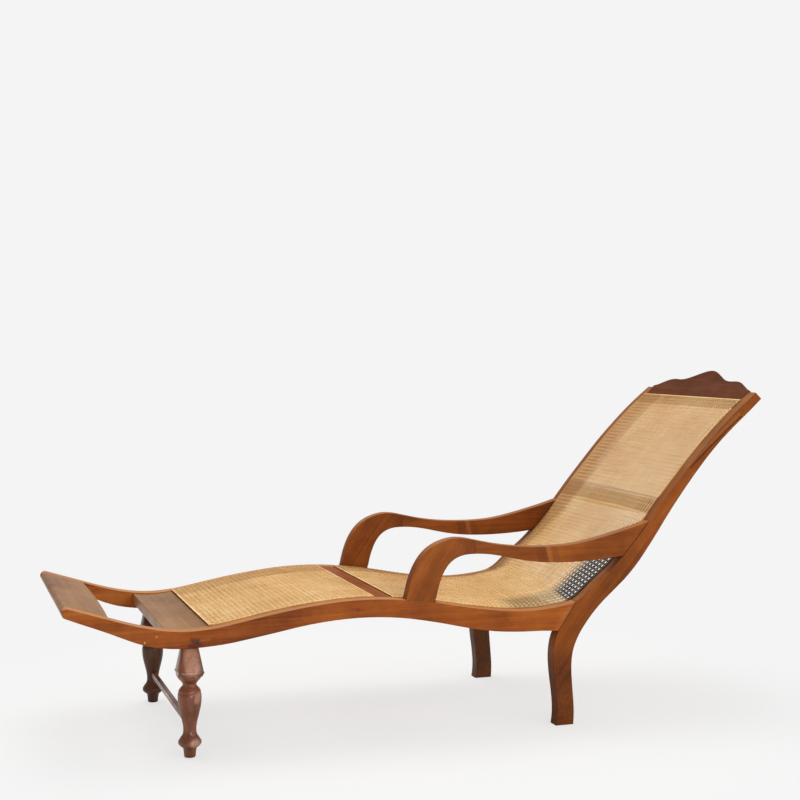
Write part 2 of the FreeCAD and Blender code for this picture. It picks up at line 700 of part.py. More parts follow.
def arm_middle(side):
    """The level stretch between the two joints."""
    body = arm_blank("arm_middle", side)
    cut_box(body, f"MiddleStart_{side}", (ARM_START, ARM_FLOOR), ("elbow_joint_station", ARM_CEILING))
    low, high = rear_joint(ARM_FLOOR), rear_joint(ARM_CEILING)
    cut(body, polygon(body, f"MiddleEnd_{side}", [low, (ARM_END, ARM_FLOOR), (ARM_END, ARM_CEILING), high]))
    middle_block(body, "Subtractive", f"ElbowSlot_{side}", ELBOW_TONGUE, "-arm_thickness / 2",
                 loose("tongue_length * 2"), loose("thin_tenon"), loose("tongue_height"))
    middle_block(body, "Additive", f"RearTongue_{side}", REAR_TONGUE, "-arm_thickness / 2",
                 "tongue_length * 2", "thin_tenon", "tongue_height")
    return body


def arm_rear(side):
    """The stretch that rises to the stile."""
    body = arm_blank("arm_rear", side)
    low, high = rear_joint(ARM_FLOOR), rear_joint(ARM_CEILING)
    corners = [(ARM_START, ARM_FLOOR), low, high, (ARM_START, ARM_CEILING)]
    cut(body, polygon(body, f"RearStart_{side}", corners))
    cut_off(body, f"RearEnd_{side}", [BACK_LINE], "joint_gap", ("stile_station", "seam_height"),
            ("stile_station - stile_end_depth", "seam_height"))
    middle_block(body, "Subtractive", f"RearSlot_{side}", REAR_TONGUE, "-arm_thickness / 2",
                 loose("tongue_length * 2"), loose("thin_tenon"), loose("tongue_height"))
    middle_block(body, "Additive", f"StileTenon_{side}", STILE_TENON, "-arm_thickness / 2",
                 "stile_tenon_width", "tenon_thickness", "stile_tenon_root + stile_tenon_depth", STILE_LEAN)
    through_hole(body, f"TenonPegHole_{side}", "arm_peg_station", "arm_peg_height")
    return body


def profile(radius, height, shares):
    """Corners of a turning, as shares of one radius and one height."""
    return [(f"{radius} * {across}", f"{height} * {up}") for across, up in shares]


LEG_PROFILE = (
    profile("leg_foot_radius", "leg_ring_height", [(0.95, 0), (0.95, 0.63)])
    + profile("leg_ring_radius", "leg_ring_height", [(0.62, 0.63), (0.99, 0.92), (0.99, 1.09)])
    + profile("leg_ankle_radius", "leg_ankle_height", [(1.03, 0.85), (1.03, 1.16)])
    + profile("leg_vase_radius", "leg_vase_height", [(0.99, 0.92), (0.99, 1.07)])
    + profile("leg_neck_radius", "leg_neck_height", [(1.02, 0.975), (1.02, 1.018)])
    + profile("leg_block_widest / 2", "leg_shoulder_height", [(0.94, 1), (0, 1)]))


def front_leg(side):
    """A turned leg with a square head and a round tenon."""
    y = "-leg_line" if side == "left" else "leg_line"
    body = new_body(f"front_leg_{side}", y, "leg_station")
    outline = polygon(body, f"LegOutline_{side}", LEG_PROFILE + [("0", "0")])
    turning = feature_of(body, "Revolution", outline)
    turning.ReferenceAxis = (turning.Profile[0], ["V_Axis"])
    leg_head(body, side)
    middle_block(body, "Subtractive", f"StretcherMortise_{side}", ("0", "stretcher_height"),
                 "leg_ring_radius / 2 - stretcher_end" if side == "left"
                 else "stretcher_end - leg_ring_radius / 2",
                 loose("stretcher_width"), "leg_ring_radius + joint_gap * 2", loose("stretcher_depth"))
    return body


def leg_head(body, side):
    """The square head: widest low down, its low corners turned off."""
    half = "leg_block_widest / 2"
    corners = [(f"-{half}", f"-{half}"), (half, f"-{half}"), (half, half), (f"-{half}", half)]
    lower = pad(body, polygon(body, f"HeadBase_{side}", corners, "XY_Plane", "leg_block_height"),
                "leg_block_height - leg_shoulder_height")
    lower.Reversed = True
    upper = body.newObject("PartDesign::AdditiveWedge", f"LegHead_{side}")
    turned(upper, (1, 0, 0), "90")
    bind(upper, Xmin=f"-{half}", Zmin=f"-{half}", Xmax=half, Zmax=half, Ymin="0",
         Ymax="leg_top - leg_block_height", X2min="-leg_block_top / 2", Z2min="-leg_block_top / 2",
         X2max="leg_block_top / 2", Z2max="leg_block_top / 2", Placement__Base__z="leg_block_height")
    corner = "leg_block_widest * 0.77"
    ring = [(f"{half} * 0.94", "leg_shoulder_height * 0.98"), (corner, "leg_shoulder_height * 0.98"),
            (corner, "leg_block_height * 1.036")]
    turning = feature_of(body, "Groove", polygon(body, f"HeadTurning_{side}", ring))
    turning.ReferenceAxis = (turning.Profile[0], ["V_Axis"])
    tenon = body.newObject("PartDesign::AdditiveCylinder", f"LegTenon_{side}")
    bind(tenon, Radius="leg_tenon_radius", Height="leg_tenon_length",
         Placement__Base__z="leg_top")


def front_stretcher():
    """The bar between the front legs."""
    body = new_body("front_stretcher")
    middle_block(body, "Additive", "StretcherBar", ("leg_station", "stretcher_height"), "0",
                 "stretcher_width", "(leg_line - stretcher_end) * 2", "stretcher_depth")
    return body


def foot_board():
    """The rolled board at the foot end, with a bowed rear edge."""
    body = new_body("foot_board")
    under = [NOSE_LOW] + lifted(FOOT_LINE[0], "-foot_board_thickness")[1:]
    outline = Outline(body, "FootBoardOutline")
    outline.curve(*FOOT_LINE)
    outline.line(DIP, under[-1])
    outline.curve(under, -0.42, 0, back=True)
    outline.arc(NOSE_LOW, outline.vector(NOSE_TIP), NOSE_TOP, "nose_radius")
    pad(body, outline.close(), "inner_half * 2", middle=True)
    plan = Outline(body, "FootBoardPlan", "XY_Plane")
    ends = [("foot_board_reach", "-inner_half"), ("foot_board_reach", "inner_half")]
    far = [("leg_station + cut_overrun", "inner_half + cut_overrun"),
           ("leg_station + cut_overrun", "-inner_half - cut_overrun")]
    plan.arc(ends[0], plan.vector(("(foot_board_reach + foot_board_bow)", "0")), ends[1],
             "(inner_half ^ 2 + foot_board_bow ^ 2) / 2 / foot_board_bow")
    plan.line(ends[1], ("foot_board_reach", far[0][1]))
    plan.line(("foot_board_reach", far[0][1]), far[0])
    plan.line(far[0], far[1])
    plan.line(far[1], ("foot_board_reach", far[1][1]))
    plan.line(("foot_board_reach", far[1][1]), ends[0])
    cut(body, plan.close())
    end_tenons(body, FOOT_TENON, "foot_tenon_width", "thin_tenon", "foot_tenon_lean")
    return body


def dished_rail(label, top, thickness, tenon, tenon_width):
    """A cross piece whose top follows the side frames."""
    body = new_body(label)
    under = [(station, f"({height} - {thickness})") for station, height in top]
    outline = Outline(body, f"Outline_{label}")
    outline.curve(top)
    outline.line(top[-1], under[-1])
    outline.curve(under, back=True)
    outline.line(under[0], top[0])
    pad(body, outline.close(), "inner_half * 2", middle=True)
    end_tenons(body, tenon, tenon_width, "tenon_thickness")
    return body


def seat_rear_rail():
    """The plain rail that ties the posts together under the seat."""
    body = new_body("seat_rear_rail")
    middle = ("(seat_rail_station + seat_rail_width / 2)", "(seat_rail_height + seat_rail_depth / 2)")
    middle_block(body, "Additive", "SeatRail", middle, "0", "seat_rail_width", "inner_half * 2",
                 "seat_rail_depth")
    end_tenons(body, SEAT_TENON, "seat_tenon_width", "seat_tenon_width")
    return body


def back_mid_rail():
    """The rail behind the cane at the sitter's shoulder blades."""
    body = new_body("back_mid_rail", station="mid_rail_station", height="mid_rail_height",
                    lean="mid_rail_lean")
    middle = ("0", "-mid_rail_thickness / 2")
    middle_block(body, "Additive", "MidRail", middle, "0", "mid_rail_width", "inner_half * 2",
                 "mid_rail_thickness")
    end_tenons(body, middle, "mid_tenon_width", "thin_tenon")
    return body


# Half of the crest's scalloped top: share of the peak, share of the half width.
CREST_SHARES = [(1.0, 0.0), (0.955, 0.112), (0.848, 0.225), (0.71, 0.365), (0.642, 0.505), (0.65, 0.648),
                (0.602, 0.757), (0.5, 0.854), (0.405, 0.94), (0.375, 1.0)]


def crest_rail():
    """The scalloped board across the top of the back."""
    body = new_body("crest_rail", station="crest_station", height="crest_height", lean="crest_lean")
    half = [(f"crest_peak * {up}", f"inner_half * {out}") for up, out in CREST_SHARES]
    other = [(up, f"-{out}") for up, out in half[1:]]
    top = other[::-1] + half
    low = [("-crest_drop", "inner_half"), ("-crest_drop", "-inner_half")]
    outline = Outline(body, "CrestOutline", "XY_Plane")
    outline.curve(top)
    outline.line(top[-1], low[0])
    outline.line(low[0], low[1])
    outline.line(low[1], top[0])
    board = pad(body, outline.close(), "crest_thickness")
    board.Reversed = True
    end_tenons(body, ("0", "-crest_thickness / 2"), "crest_tenon_width", "thin_tenon")
    return body


def sheet_over(label, lines, low, high):
    """A thin sheet between two lifts over lines of the top, right across."""
    body = new_body(label)
    lower, upper = lifted_lines(lines, low), lifted_lines(lines, high)
    outline = Outline(body, f"Outline_{label}")
    draw(outline, lower)
    outline.line(lower[-1][0][-1], upper[-1][0][-1])
    draw_back(outline, upper)
    outline.line(upper[0][0][0], lower[0][0][0])
    pad(body, outline.close(), "panel_half * 2", middle=True)
    return body


def trim_ends(body, name, start, end, limits):
    """Keep only what lies between two stations."""
    wide = "(panel_half + cut_overrun)"
    before, after = f"({limits[0]} - cut_overrun)", f"({limits[1]} + cut_overrun)"
    for part, low, high in (("Start", before, start), ("End", end, after)):
        corners = [(low, f"-{wide}"), (high, f"-{wide}"), (high, wide), (low, wide)]
        cut(body, polygon(body, name + part, corners, "XY_Plane"))


# The stretches of cane between the cross rails, with the rows of openings in each.
STRETCHES = {
    "leg": [("front_board_rear", "knee_rail_front", 3)],
    "seat": [("knee_rail_rear", "seam_station", 3), ("seam_station", "seat_panel_end", 5)],
}
OPENINGS_ACROSS = 4
OPEN_SHARE = 0.62


def weave_openings(body, name, start, end, rows):
    """A plain grid of openings, which let through about what the weave does."""
    steps = [f"(({end} - {start}) / {rows})", f"(inner_half * 2 / {OPENINGS_ACROSS})"]
    low, high = ([f"{first} + {step} * {share:.3f}" for first, step in zip((start, "-inner_half"), steps)]
                 for share in (0.5 - OPEN_SHARE / 2, 0.5 + OPEN_SHARE / 2))
    corners = [(low[0], low[1]), (high[0], low[1]), (high[0], high[1]), (low[0], high[1])]
    opening = cut(body, polygon(body, f"{name}Opening", corners, "XY_Plane"))
    grid = body.newObject("PartDesign::LinearPattern", f"{name}Grid")
    grid.Originals = [opening]
    grid.Direction = (opening.Profile[0], ["H_Axis"])
    grid.Direction2 = (opening.Profile[0], ["V_Axis"])
    grid.Occurrences = rows
    grid.Occurrences2 = OPENINGS_ACROSS
    bind(grid, Length=f"{steps[0]} * ({rows} - 1)", Length2=f"{steps[1]} * ({OPENINGS_ACROSS} - 1)")
    body.Tip = grid


def cane_panel(name):
    """A woven sheet in its smooth thickness, with a coarse grid for its weave."""
    lines, start, end = PANELS[name]
    body = sheet_over(f"{name}_cane_panel", lines, "cane_gap", "cane_top")
    trim_ends(body, f"CaneTrim_{name}", start, end, (lines[0][0][0][0], lines[-1][0][-1][0]))
    for number, stretch in enumerate(STRETCHES[name]):
        weave_openings(body, f"Weave_{name}_{number}", *stretch)
    return body


def cylinder(name, station, height, y, radius, length):
    """A round peg across the chair; y is its high end."""
    peg = doc.addObject("Part::Cylinder", name)
    peg.Placement = FreeCAD.Placement(FreeCAD.Vector(), FreeCAD.Rotation(FreeCAD.Vector(1, 0, 0), 90))
    bind(peg, Radius=radius, Height=length, Placement__Base__x=f"{station} - overall_length / 2",
         Placement__Base__y=y, Placement__Base__z=height)
    return peg


def group(label, members):
    """Like fasteners as one piece of the list."""
    compound = doc.addObject("Part::Compound", label)
    compound.Links = members
    compound.Label = label
    return compound


def peg_pair(label, station, height):
    """Two like pegs, one through each side frame."""
    return group(label, [cylinder(f"{label}_{side}", station, height, y, "peg_radius", "side_thickness")
                         for side, y in SIDES.items()])


def build():
    """Every piece of the chair, in the order of the list."""
    fill_sheet()
    pieces = []
    for side in SIDES:
        for make in (side_rail, back_post, arm_elbow, arm_middle, arm_rear, front_leg):
            pieces.append(make(side))
    pieces += [front_stretcher(), foot_board()]
    pieces.append(dished_rail("front_cross_board", FRONT_TOP, "front_board_thickness", FRONT_TENON,
                              "front_tenon_width"))
    pieces.append(dished_rail("knee_rail", KNEE_TOP, "knee_rail_thickness", KNEE_TENON, "knee_tenon_width"))
    pieces += [seat_rear_rail(), back_mid_rail(), crest_rail()]
    pieces += [cane_panel(name) for name in PANELS]
    pieces.append(peg_pair("rail_post_pegs", "post_peg_station", "post_peg_height"))
    pieces.append(peg_pair("arm_pegs", "arm_peg_station", "arm_peg_height"))
    doc.recompute()
    return pieces


def write(pieces):
    """Check every object and write each piece to a file of its own name."""
    for thing in doc.Objects:
        bad = [word for word in thing.State if word in ("Invalid", "Error")]
        if bad:
            raise RuntimeError(f"{thing.Label}: {bad}")
    os.makedirs("parts", exist_ok=True)
    for piece in pieces:
        if not piece.Shape.isValid() or not piece.Shape.Solids:
            raise RuntimeError(f"{piece.Label}: shape is not a valid solid")
        piece.Shape.exportStep(f"parts/{piece.Label}.step")


write(build())
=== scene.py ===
import math

import bmesh
import bpy
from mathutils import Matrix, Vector


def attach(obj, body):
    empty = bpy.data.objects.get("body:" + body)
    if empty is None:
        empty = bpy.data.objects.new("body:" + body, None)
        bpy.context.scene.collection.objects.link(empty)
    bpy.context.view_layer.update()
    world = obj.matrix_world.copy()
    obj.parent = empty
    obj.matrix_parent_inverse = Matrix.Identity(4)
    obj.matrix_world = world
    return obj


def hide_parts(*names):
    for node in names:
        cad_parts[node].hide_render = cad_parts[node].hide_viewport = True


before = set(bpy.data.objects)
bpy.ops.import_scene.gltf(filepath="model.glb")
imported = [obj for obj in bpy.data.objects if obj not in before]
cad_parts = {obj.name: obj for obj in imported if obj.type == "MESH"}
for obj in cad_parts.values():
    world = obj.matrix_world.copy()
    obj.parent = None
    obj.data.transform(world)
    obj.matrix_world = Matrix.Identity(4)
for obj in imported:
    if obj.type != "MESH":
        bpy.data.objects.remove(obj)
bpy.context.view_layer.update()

MM = 0.001
LENGTH = 1896.24
INNER = 267 * MM
OUTER = 305 * MM
ARM_INNER = 275 * MM
PITCH = 12.7 * MM
# Corners this close are one corner, and a plane this close is the same plane.
WELD = 0.02 * MM
NEAR = 0.5 * MM


def at(station, height, across=0.0):
    """A point by its distance from the foot end and its height, in millimetres."""
    return Vector(((station - LENGTH / 2) * MM, across * MM, height * MM))


# Working by hand.

def only(piece):
    """Leave one piece selected and active."""
    bpy.ops.object.select_all(action="DESELECT")
    piece.select_set(True)
    bpy.context.view_layer.objects.active = piece


def start_edit(piece, kind="EDGE"):
    """Open a piece for editing with nothing selected."""
    only(piece)
    bpy.ops.object.mode_set(mode="EDIT")
    bpy.ops.mesh.select_mode(type=kind)
    bpy.ops.mesh.select_all(action="DESELECT")


def stop_edit():
    bpy.ops.object.mode_set(mode="OBJECT")


def pick(piece, kind, test):
    """In edit mode, select the corners, edges or faces that pass a test."""
    shell = bmesh.from_edit_mesh(piece.data)
    parts = {"VERT": shell.verts, "EDGE": shell.edges, "FACE": shell.faces}[kind]
    bpy.ops.mesh.select_mode(type=kind)
    bpy.ops.mesh.select_all(action="DESELECT")
    for part in parts:
        if test(part):
            part.select_set(True)
    bmesh.update_edit_mesh(piece.data)


def middle_of(edge):
    return (edge.verts[0].co + edge.verts[1].co) / 2


def sharp(edge, angle):
    """Whether two faces meet at an edge at more than an angle in degrees."""
    return len(edge.link_faces) == 2 and edge.calc_face_angle(0) > math.radians(angle)


def smoothed(angle):
    """Smooth the active piece but for edges sharper than an angle in degrees."""
    bpy.ops.object.shade_smooth_by_angle(angle=math.radians(angle))


def copy_of(node, name):
    """A welded copy of a solid's mesh, open for editing with all of it selected."""
    piece = bpy.data.objects.new(name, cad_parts[node].data.copy())
    bpy.context.scene.collection.objects.link(piece)
    start_edit(piece)
    bpy.ops.mesh.select_all(action="SELECT")
    bpy.ops.mesh.remove_doubles(threshold=WELD)
    return piece


def apply_modifier(piece, kind, **settings):
    """Add a modifier, set it and apply it."""
    only(piece)
    modifier = piece.modifiers.new(kind.title(), kind)
    for name, value in settings.items():
        setattr(modifier, name, value)
    bpy.ops.object.modifier_apply(modifier=modifier.name)
    return piece


def block(name, low, high):
    """A rectangular blank between two corners, its place in its mesh."""
    low, high = Vector(low), Vector(high)
    bpy.ops.object.select_all(action="DESELECT")
    bpy.ops.mesh.primitive_cube_add(size=1, location=(low + high) / 2, scale=high - low)
    piece = bpy.context.object
    piece.name = name
    bpy.ops.object.transform_apply(location=True, rotation=True, scale=True)
    return piece


def joined(name, pieces):
    """Join pieces into the first, under a new name."""
    bpy.ops.object.select_all(action="DESELECT")
    for piece in pieces:
        piece.select_set(True)
    bpy.context.view_layer.objects.active = pieces[0]
    bpy.ops.object.join()
    pieces[0].name = name
    return pieces[0]


def finished(piece, material, edge_material=None):
    """Give a piece its finish and let it ride on the chair."""
    piece.data.materials.clear()
    piece.data.materials.append(material)
    if edge_material is not None:
        piece.data.materials.append(edge_material)
    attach(piece, "root")


# Finishes.

class Socket:
    """A shader value that can stand in an expression."""

    def __init__(self, shade, link):
        self.shade = shade
        self.link = link

    def maths(self, operation, *terms):
        return self.shade.node("ShaderNodeMath", {"operation": operation}, dict(enumerate(terms)))

    def __add__(self, other):
        return self.maths("ADD", self, other)

    def __radd__(self, other):
        return self.maths("ADD", other, self)

    def __sub__(self, other):
        return self.maths("SUBTRACT", self, other)

    def __rsub__(self, other):
        return self.maths("SUBTRACT", other, self)

    def __mul__(self, other):
        return self.maths("MULTIPLY", self, other)

    def __rmul__(self, other):
        return self.maths("MULTIPLY", other, self)


class Shade:
    """A material and the nodes that are added to it."""

    def __init__(self, owner):
        self.material = owner
        self.material.use_nodes = True
        self.tree = self.material.node_tree
        self.tree.nodes.clear()

    def node(self, kind, settings=None, inputs=None, output=0):
        """One node: its settings first, then the values or links of its sockets."""
        made = self.tree.nodes.new(kind)
        for name, value in (settings or {}).items():
            if name == "stops":
                self.fill_ramp(made.color_ramp, value)
            else:
                setattr(made, name, value)
        for name, value in (inputs or {}).items():
            if isinstance(value, Socket):
                self.tree.links.new(value.link, made.inputs[name])
            else:
                made.inputs[name].default_value = value
        return None if output is None else Socket(self, made.outputs[output])

    def fill_ramp(self, ramp, stops):
        while len(ramp.elements) > 1:
            ramp.elements.remove(ramp.elements[-1])
        ramp.elements[0].position, ramp.elements[0].color = stops[0]
        for place, colour in stops[1:]:
            ramp.elements.new(place).color = colour

    def ramp(self, tone, dark, middle, light):
        """Three tones, over the middle of the range that a sum of noises takes."""
        return self.node("ShaderNodeValToRGB",
                         {"stops": [(0.3, dark), (0.5, middle), (0.7, light)]}, {0: tone})

    def noise(self, place, scale, detail=3.0, rough=0.5, distortion=0.0):
        return self.node("ShaderNodeTexNoise", {"noise_dimensions": "3D"},
                         {"Vector": place, "Scale": scale, "Detail": detail, "Roughness": rough,
                          "Distortion": distortion})

    def stretched(self, place, scale):
        """The same place with each of its three ways scaled."""
        return self.vector("MULTIPLY", place, scale)

    def part_of(self, place, axis):
        """One of the three parts of a place: 0 for x, 1 for y, 2 for z."""
        return self.node("ShaderNodeSeparateXYZ", {}, {0: place}, output=axis)

    def between(self, value, low, high, start=0.0, end=1.0):
        """A value's stretch from low to high, eased and laid on another stretch."""
        return self.node("ShaderNodeMapRange", {"interpolation_type": "SMOOTHSTEP"},
                         {"Value": value, "From Min": low, "From Max": high, "To Min": start,
                          "To Max": end})

    def vector(self, operation, *terms, output=0):
        return self.node("ShaderNodeVectorMath", {"operation": operation},
                         dict(enumerate(terms)), output)

    def close_to(self, place, start, end, reach, soft):
        """One within reach of a line of the side view, fading to none; in millimetres."""
        first, last = at(*start), at(*end)
        run = last - first
        flat = self.vector("MULTIPLY", place, (1.0, 0.0, 1.0))
        offset = self.vector("SUBTRACT", flat, tuple(first))
        share = self.vector("DOT_PRODUCT", offset, tuple(run / run.length_squared), output=1)
        share = self.node("ShaderNodeClamp", {}, {0: share})
        nearest = self.node("ShaderNodeVectorMath", {"operation": "SCALE"},
                            {0: tuple(run), 3: share})
        away = self.vector("DISTANCE", offset, nearest, output=1)
        return self.between(away, reach * MM, (reach + soft) * MM, 1.0, 0.0)

    def blended(self, share, first, second):
        """A share of the second colour laid over the first."""
        return self.node("ShaderNodeMix", {"data_type": "RGBA", "blend_type": "MIX"},
                         {0: share, 6: first, 7: second}, output=2)

    def bumped(self, height, depth):
        """A normal from a height that varies, its depth in metres."""
        return self.node("ShaderNodeBump", {},
                         {"Strength": 0.2, "Distance": depth, "Height": height})

    def surface(self, varying, steady):
        """The closing shader: what varies is linked, the rest is set."""
        shader = self.tree.nodes.new("ShaderNodeBsdfPrincipled")
        for name, value in steady.items():
            shader.inputs[name].default_value = value
        for name, value in varying.items():
            self.tree.links.new(value.link, shader.inputs[name])
        out = self.tree.nodes.new("ShaderNodeOutputMaterial")
        self.tree.links.new(shader.outputs[0], out.inputs["Surface"])
        return self.material


def colour(red, green, blue):
    """A colour as the eye gives it, from 0 to 255, as a shader takes it."""
    parts = [c / 255 for c in (red, green, blue)]
    linear = [c / 12.92 if c <= 0.04045 else ((c + 0.055) / 1.055) ** 2.4 for c in parts]
    return (*linear, 1.0)


def hardwood(name, tones, grain, seed=0.0, gloss=0.4, coat=0.0, shine=0.09, marks=(),
             lit_tops=0.0):
    """Polished hardwood whose grain runs along a piece; grain turns it from x.

    A mark is the start and end of its line in the side view, its reach and
    softness in millimetres, its strength and its colour. Faces that look up
    are painted paler, as painted light from above."""
    dark, middle, light = tones
    shade = Shade(bpy.data.materials.new(name))
    place = shade.node("ShaderNodeTexCoord", output=3)
    run = shade.node("ShaderNodeMapping", {"vector_type": "TEXTURE"},
                     {"Vector": place, "Location": (seed, seed * 0.7, seed * 0.3),
                      "Rotation": grain})
    figure = shade.noise(shade.stretched(run, (1.3, 9.0, 9.0)), 1.0, 2.0, 0.5, 0.5)
    rings = shade.noise(shade.stretched(run, (1.8, 70.0, 70.0)), 1.0, 3.0, 0.55, 0.7)
    fibres = shade.noise(shade.stretched(run, (16.0, 560.0, 560.0)), 1.0, 3.0, 0.6)
    pores = shade.noise(shade.stretched(run, (30.0, 900.0, 900.0)), 1.0, 1.0, 0.5)
    clouds = shade.noise(run, 9.0, 3.0, 0.6)
    tone = figure * 0.55 + rings * 0.35 + fibres * 0.2 + clouds * 0.45 - 0.275
    body = shade.ramp(tone, dark, middle, light)
    flecks = shade.between(pores, 0.60, 0.72)
    body = shade.blended(flecks * 0.35, body, dark)
    breakup = shade.between(shade.noise(place, 160.0, 4.0, 0.7), 0.3, 0.6, 0.55, 1.0)
    for start, end, reach, soft, strength, tint in marks:
        share = shade.close_to(place, start, end, reach, soft) * breakup * strength
        body = shade.blended(share, body, tint)
    # Painted light: faces that look up are painted paler.
    facing_up = shade.part_of(shade.node("ShaderNodeNewGeometry", output=1), 2)
    body = shade.blended(shade.between(facing_up, 0.45, 0.85, 0.0, lit_tops), body, TOP_LIGHT)
    rubbed = shade.noise(place, 7.0, 3.0, 0.6)
    rough = shade.between(rubbed, 0.3, 0.7, gloss - 0.05, gloss + 0.1)
    relief = fibres * 0.5 + rings * 0.2 - flecks * 0.8
    normal = shade.bumped(relief, 0.4 * MM)
    return shade.surface({"Base Color": body, "Roughness": rough, "Normal": normal},
                         {"Coat Weight": coat, "Coat Roughness": 0.16, "Specular IOR Level": shine})


def cane(name, dark, middle, light, shadow_tone, shade_tone):
    """Split cane, each strand a little different from the next."""
    shade = Shade(bpy.data.materials.new(name))
    place = shade.node("ShaderNodeTexCoord", output=3)
    along = shade.noise(shade.stretched(place, (9.0, 160.0, 9.0)), 1.0, 2.0, 0.6)
    across = shade.noise(shade.stretched(place, (160.0, 9.0, 160.0)), 1.0, 2.0, 0.6)
    patches = shade.noise(place, 6.0, 3.0, 0.5)
    tone = along * 0.4 + across * 0.4 + patches * 0.4 - 0.1
    body = shade.ramp(tone, dark, middle, light)
    across_chair = shade.part_of(place, 1)
    height = shade.part_of(place, 2)

    # Painted shadow: strands darkened at the left side, in the hollow and at the foot of the back.
    left_side = shade.between(across_chair, -0.225, -0.17, 1.0, 0.0)
    hollow = shade.close_to(place, (1200, 305), (1290, 318), 30, 70)
    foot_of_back = shade.close_to(place, (1325, 338), (1425, 425), 25, 35)
    shadow_share = hollow * 0.45
    shadow_share = shadow_share.maths("MAXIMUM", shadow_share, foot_of_back) * left_side
    body = shade.blended(shadow_share * 0.96, body, shadow_tone)

    # Painted shade: a browner tone along the right side and up the back.
    shade_share = (shade.between(across_chair, 0.15, 0.18, 0.0, 0.34)
            + shade.between(height, 0.38, 0.5, 0.0, 0.22))
    body = shade.blended(shade_share, body, shade_tone)

    # Painted shade: rows of dark dots where a rail lies close beyond the holes, the rail in its
    # shade.
    rail_shade = (shade.close_to(place, (1528, 546), (1556, 578), 4, 5)
              + shade.close_to(place, (1785, 817), (1802, 832), 3, 4))
    turn = across_chair * (2 * math.pi / PITCH)
    dots = shade.between(turn.maths("COSINE", turn), -0.1, -0.6, 0.15, 1.0)
    body = shade.blended(rail_shade * dots * 0.8, body, SHADED_RAIL_DOTS)
    rough = shade.between(patches, 0.3, 0.7, 0.42, 0.55)
    skin = shade.noise(place, 900.0, 2.0, 0.5)
    normal = shade.bumped(skin, 0.2 * MM)
    return shade.surface({"Base Color": body, "Roughness": rough, "Normal": normal},
                         {"Specular IOR Level": 0.14})


# Painted light: the paler colour laid on faces that look up.
TOP_LIGHT = colour(206, 146, 92)
# Painted shade: the shaded rail, as seen through the holes.
SHADED_RAIL_DOTS = colour(120, 72, 30)

X_GRAIN = (0.0, 0.0, 0.0)
Y_GRAIN = (0.0, 0.0, math.radians(90))
Z_GRAIN = (0.0, math.radians(-90), 0.0)
STILE_GRAIN = (0.0, math.radians(-52), 0.0)
ELBOW_GRAIN = (0.0, math.radians(-55), 0.0)

# Dark, middle and light tone of each wood.
SIDE_TONES = (colour(100, 46, 12), colour(142, 73, 23), colour(172, 98, 36))
ARM_TONES = (colour(86, 42, 12), colour(124, 64, 20), colour(152, 84, 30))
BOARD_TONES = (colour(118, 76, 38), colour(144, 98, 52), colour(164, 118, 70))
CREST_TONES = (colour(68, 33, 18), colour(92, 50, 30), colour(112, 66, 44))
TURNED_TONES = (colour(60, 28, 14), colour(124, 68, 40), colour(170, 112, 76))
# Painted shade: darker tones for the far front leg.
SHADED_LEG_TONES = (colour(44, 24, 14), colour(72, 42, 26), colour(96, 60, 40))
PEG_TONES = (colour(84, 44, 18), colour(120, 66, 30), colour(146, 86, 46))
PIN_TONES = (colour(150, 104, 62), colour(182, 134, 86), colour(206, 160, 112))

# Dark seam lines; along the near stile the same colour is a painted shadow line.
DIRT_AND_SHADOW_LINE = colour(58, 26, 10)
# A reddish dark for two patches on the rail just above the leg's head.
REDDISH_DARK = colour(66, 34, 34)
PALE = colour(164, 100, 60)
DARK = colour(98, 46, 18)
# Painted light: a lit band along the near stile's front edge.
STILE_LIT_BAND = colour(150, 94, 50)
# Painted shade: the near post darkens towards its foot.
LEG_FOOT_SHADE = colour(60, 28, 16)
# Painted shade: the far post's lower part.
SHADED_LEG = colour(64, 46, 34)

RAIL_MARKS = [((300, 268), (318, 274), 4, 9, 0.85, REDDISH_DARK),
              ((304, 284), (316, 282), 2, 7, 0.7, REDDISH_DARK),
              ((322, 281), (346, 283), 0.6, 4, 0.35, PALE),
              ((713, 333), (717, 333), 2, 5, 0.6, DARK),
              ((700, 336), (732, 330), 1.5, 3, 0.3, DARK),
              ((1110, 284), (1114, 284), 2, 4, 0.4, DARK),
              ((1305, 321), (1256, 247), 0.4, 1.6, 0.7, DIRT_AND_SHADOW_LINE),
              ((1298, 322), (1246, 244), 3, 7, 0.25, PALE),
              ((962, 339.5), (838, 350.5), 0.5, 2.5, 0.6, DIRT_AND_SHADOW_LINE)]
# The seams of rail and arm come first; then a painted lit band and a painted
# shadow line along the stile, where no groove is cut; a pale spot; and painted
# shade towards the post's foot.
POST_MARKS = [((1305, 321), (1256, 247), 0.5, 1.8, 0.8, DIRT_AND_SHADOW_LINE),
              ((1400, 396), (1441, 434), 0.4, 2, 0.6, DIRT_AND_SHADOW_LINE),
              ((1441, 434), (1480, 476.5), 0.5, 1.8, 0.7, DIRT_AND_SHADOW_LINE),
              ((1480, 476.5), (1517, 523), 0.5, 1.8, 0.7, DIRT_AND_SHADOW_LINE),
              ((1628, 664), (1784, 801), 3, 3, 0.5, STILE_LIT_BAND),
              ((1638, 660), (1700, 718), 0.7, 2.4, 0.85, DIRT_AND_SHADOW_LINE),
              ((1700, 718), (1790, 794), 0.7, 2.4, 0.85, DIRT_AND_SHADOW_LINE),
              ((1646, 640), (1654, 646), 1.5, 4, 0.5, PALE),
              ((1275, -20), (1272, 60), 60, 120, 0.6, LEG_FOOT_SHADE)]
FAR_POST_SHADE = [((1275, 0), (1285, 190), 70, 60, 0.8, SHADED_LEG)]
ELBOW_MARKS = [((1008, 500), (1012, 450), 4, 30, 0.55, DARK),
               ((1024, 505), (1024, 450), 0.3, 1.4, 0.7, DIRT_AND_SHADOW_LINE)]
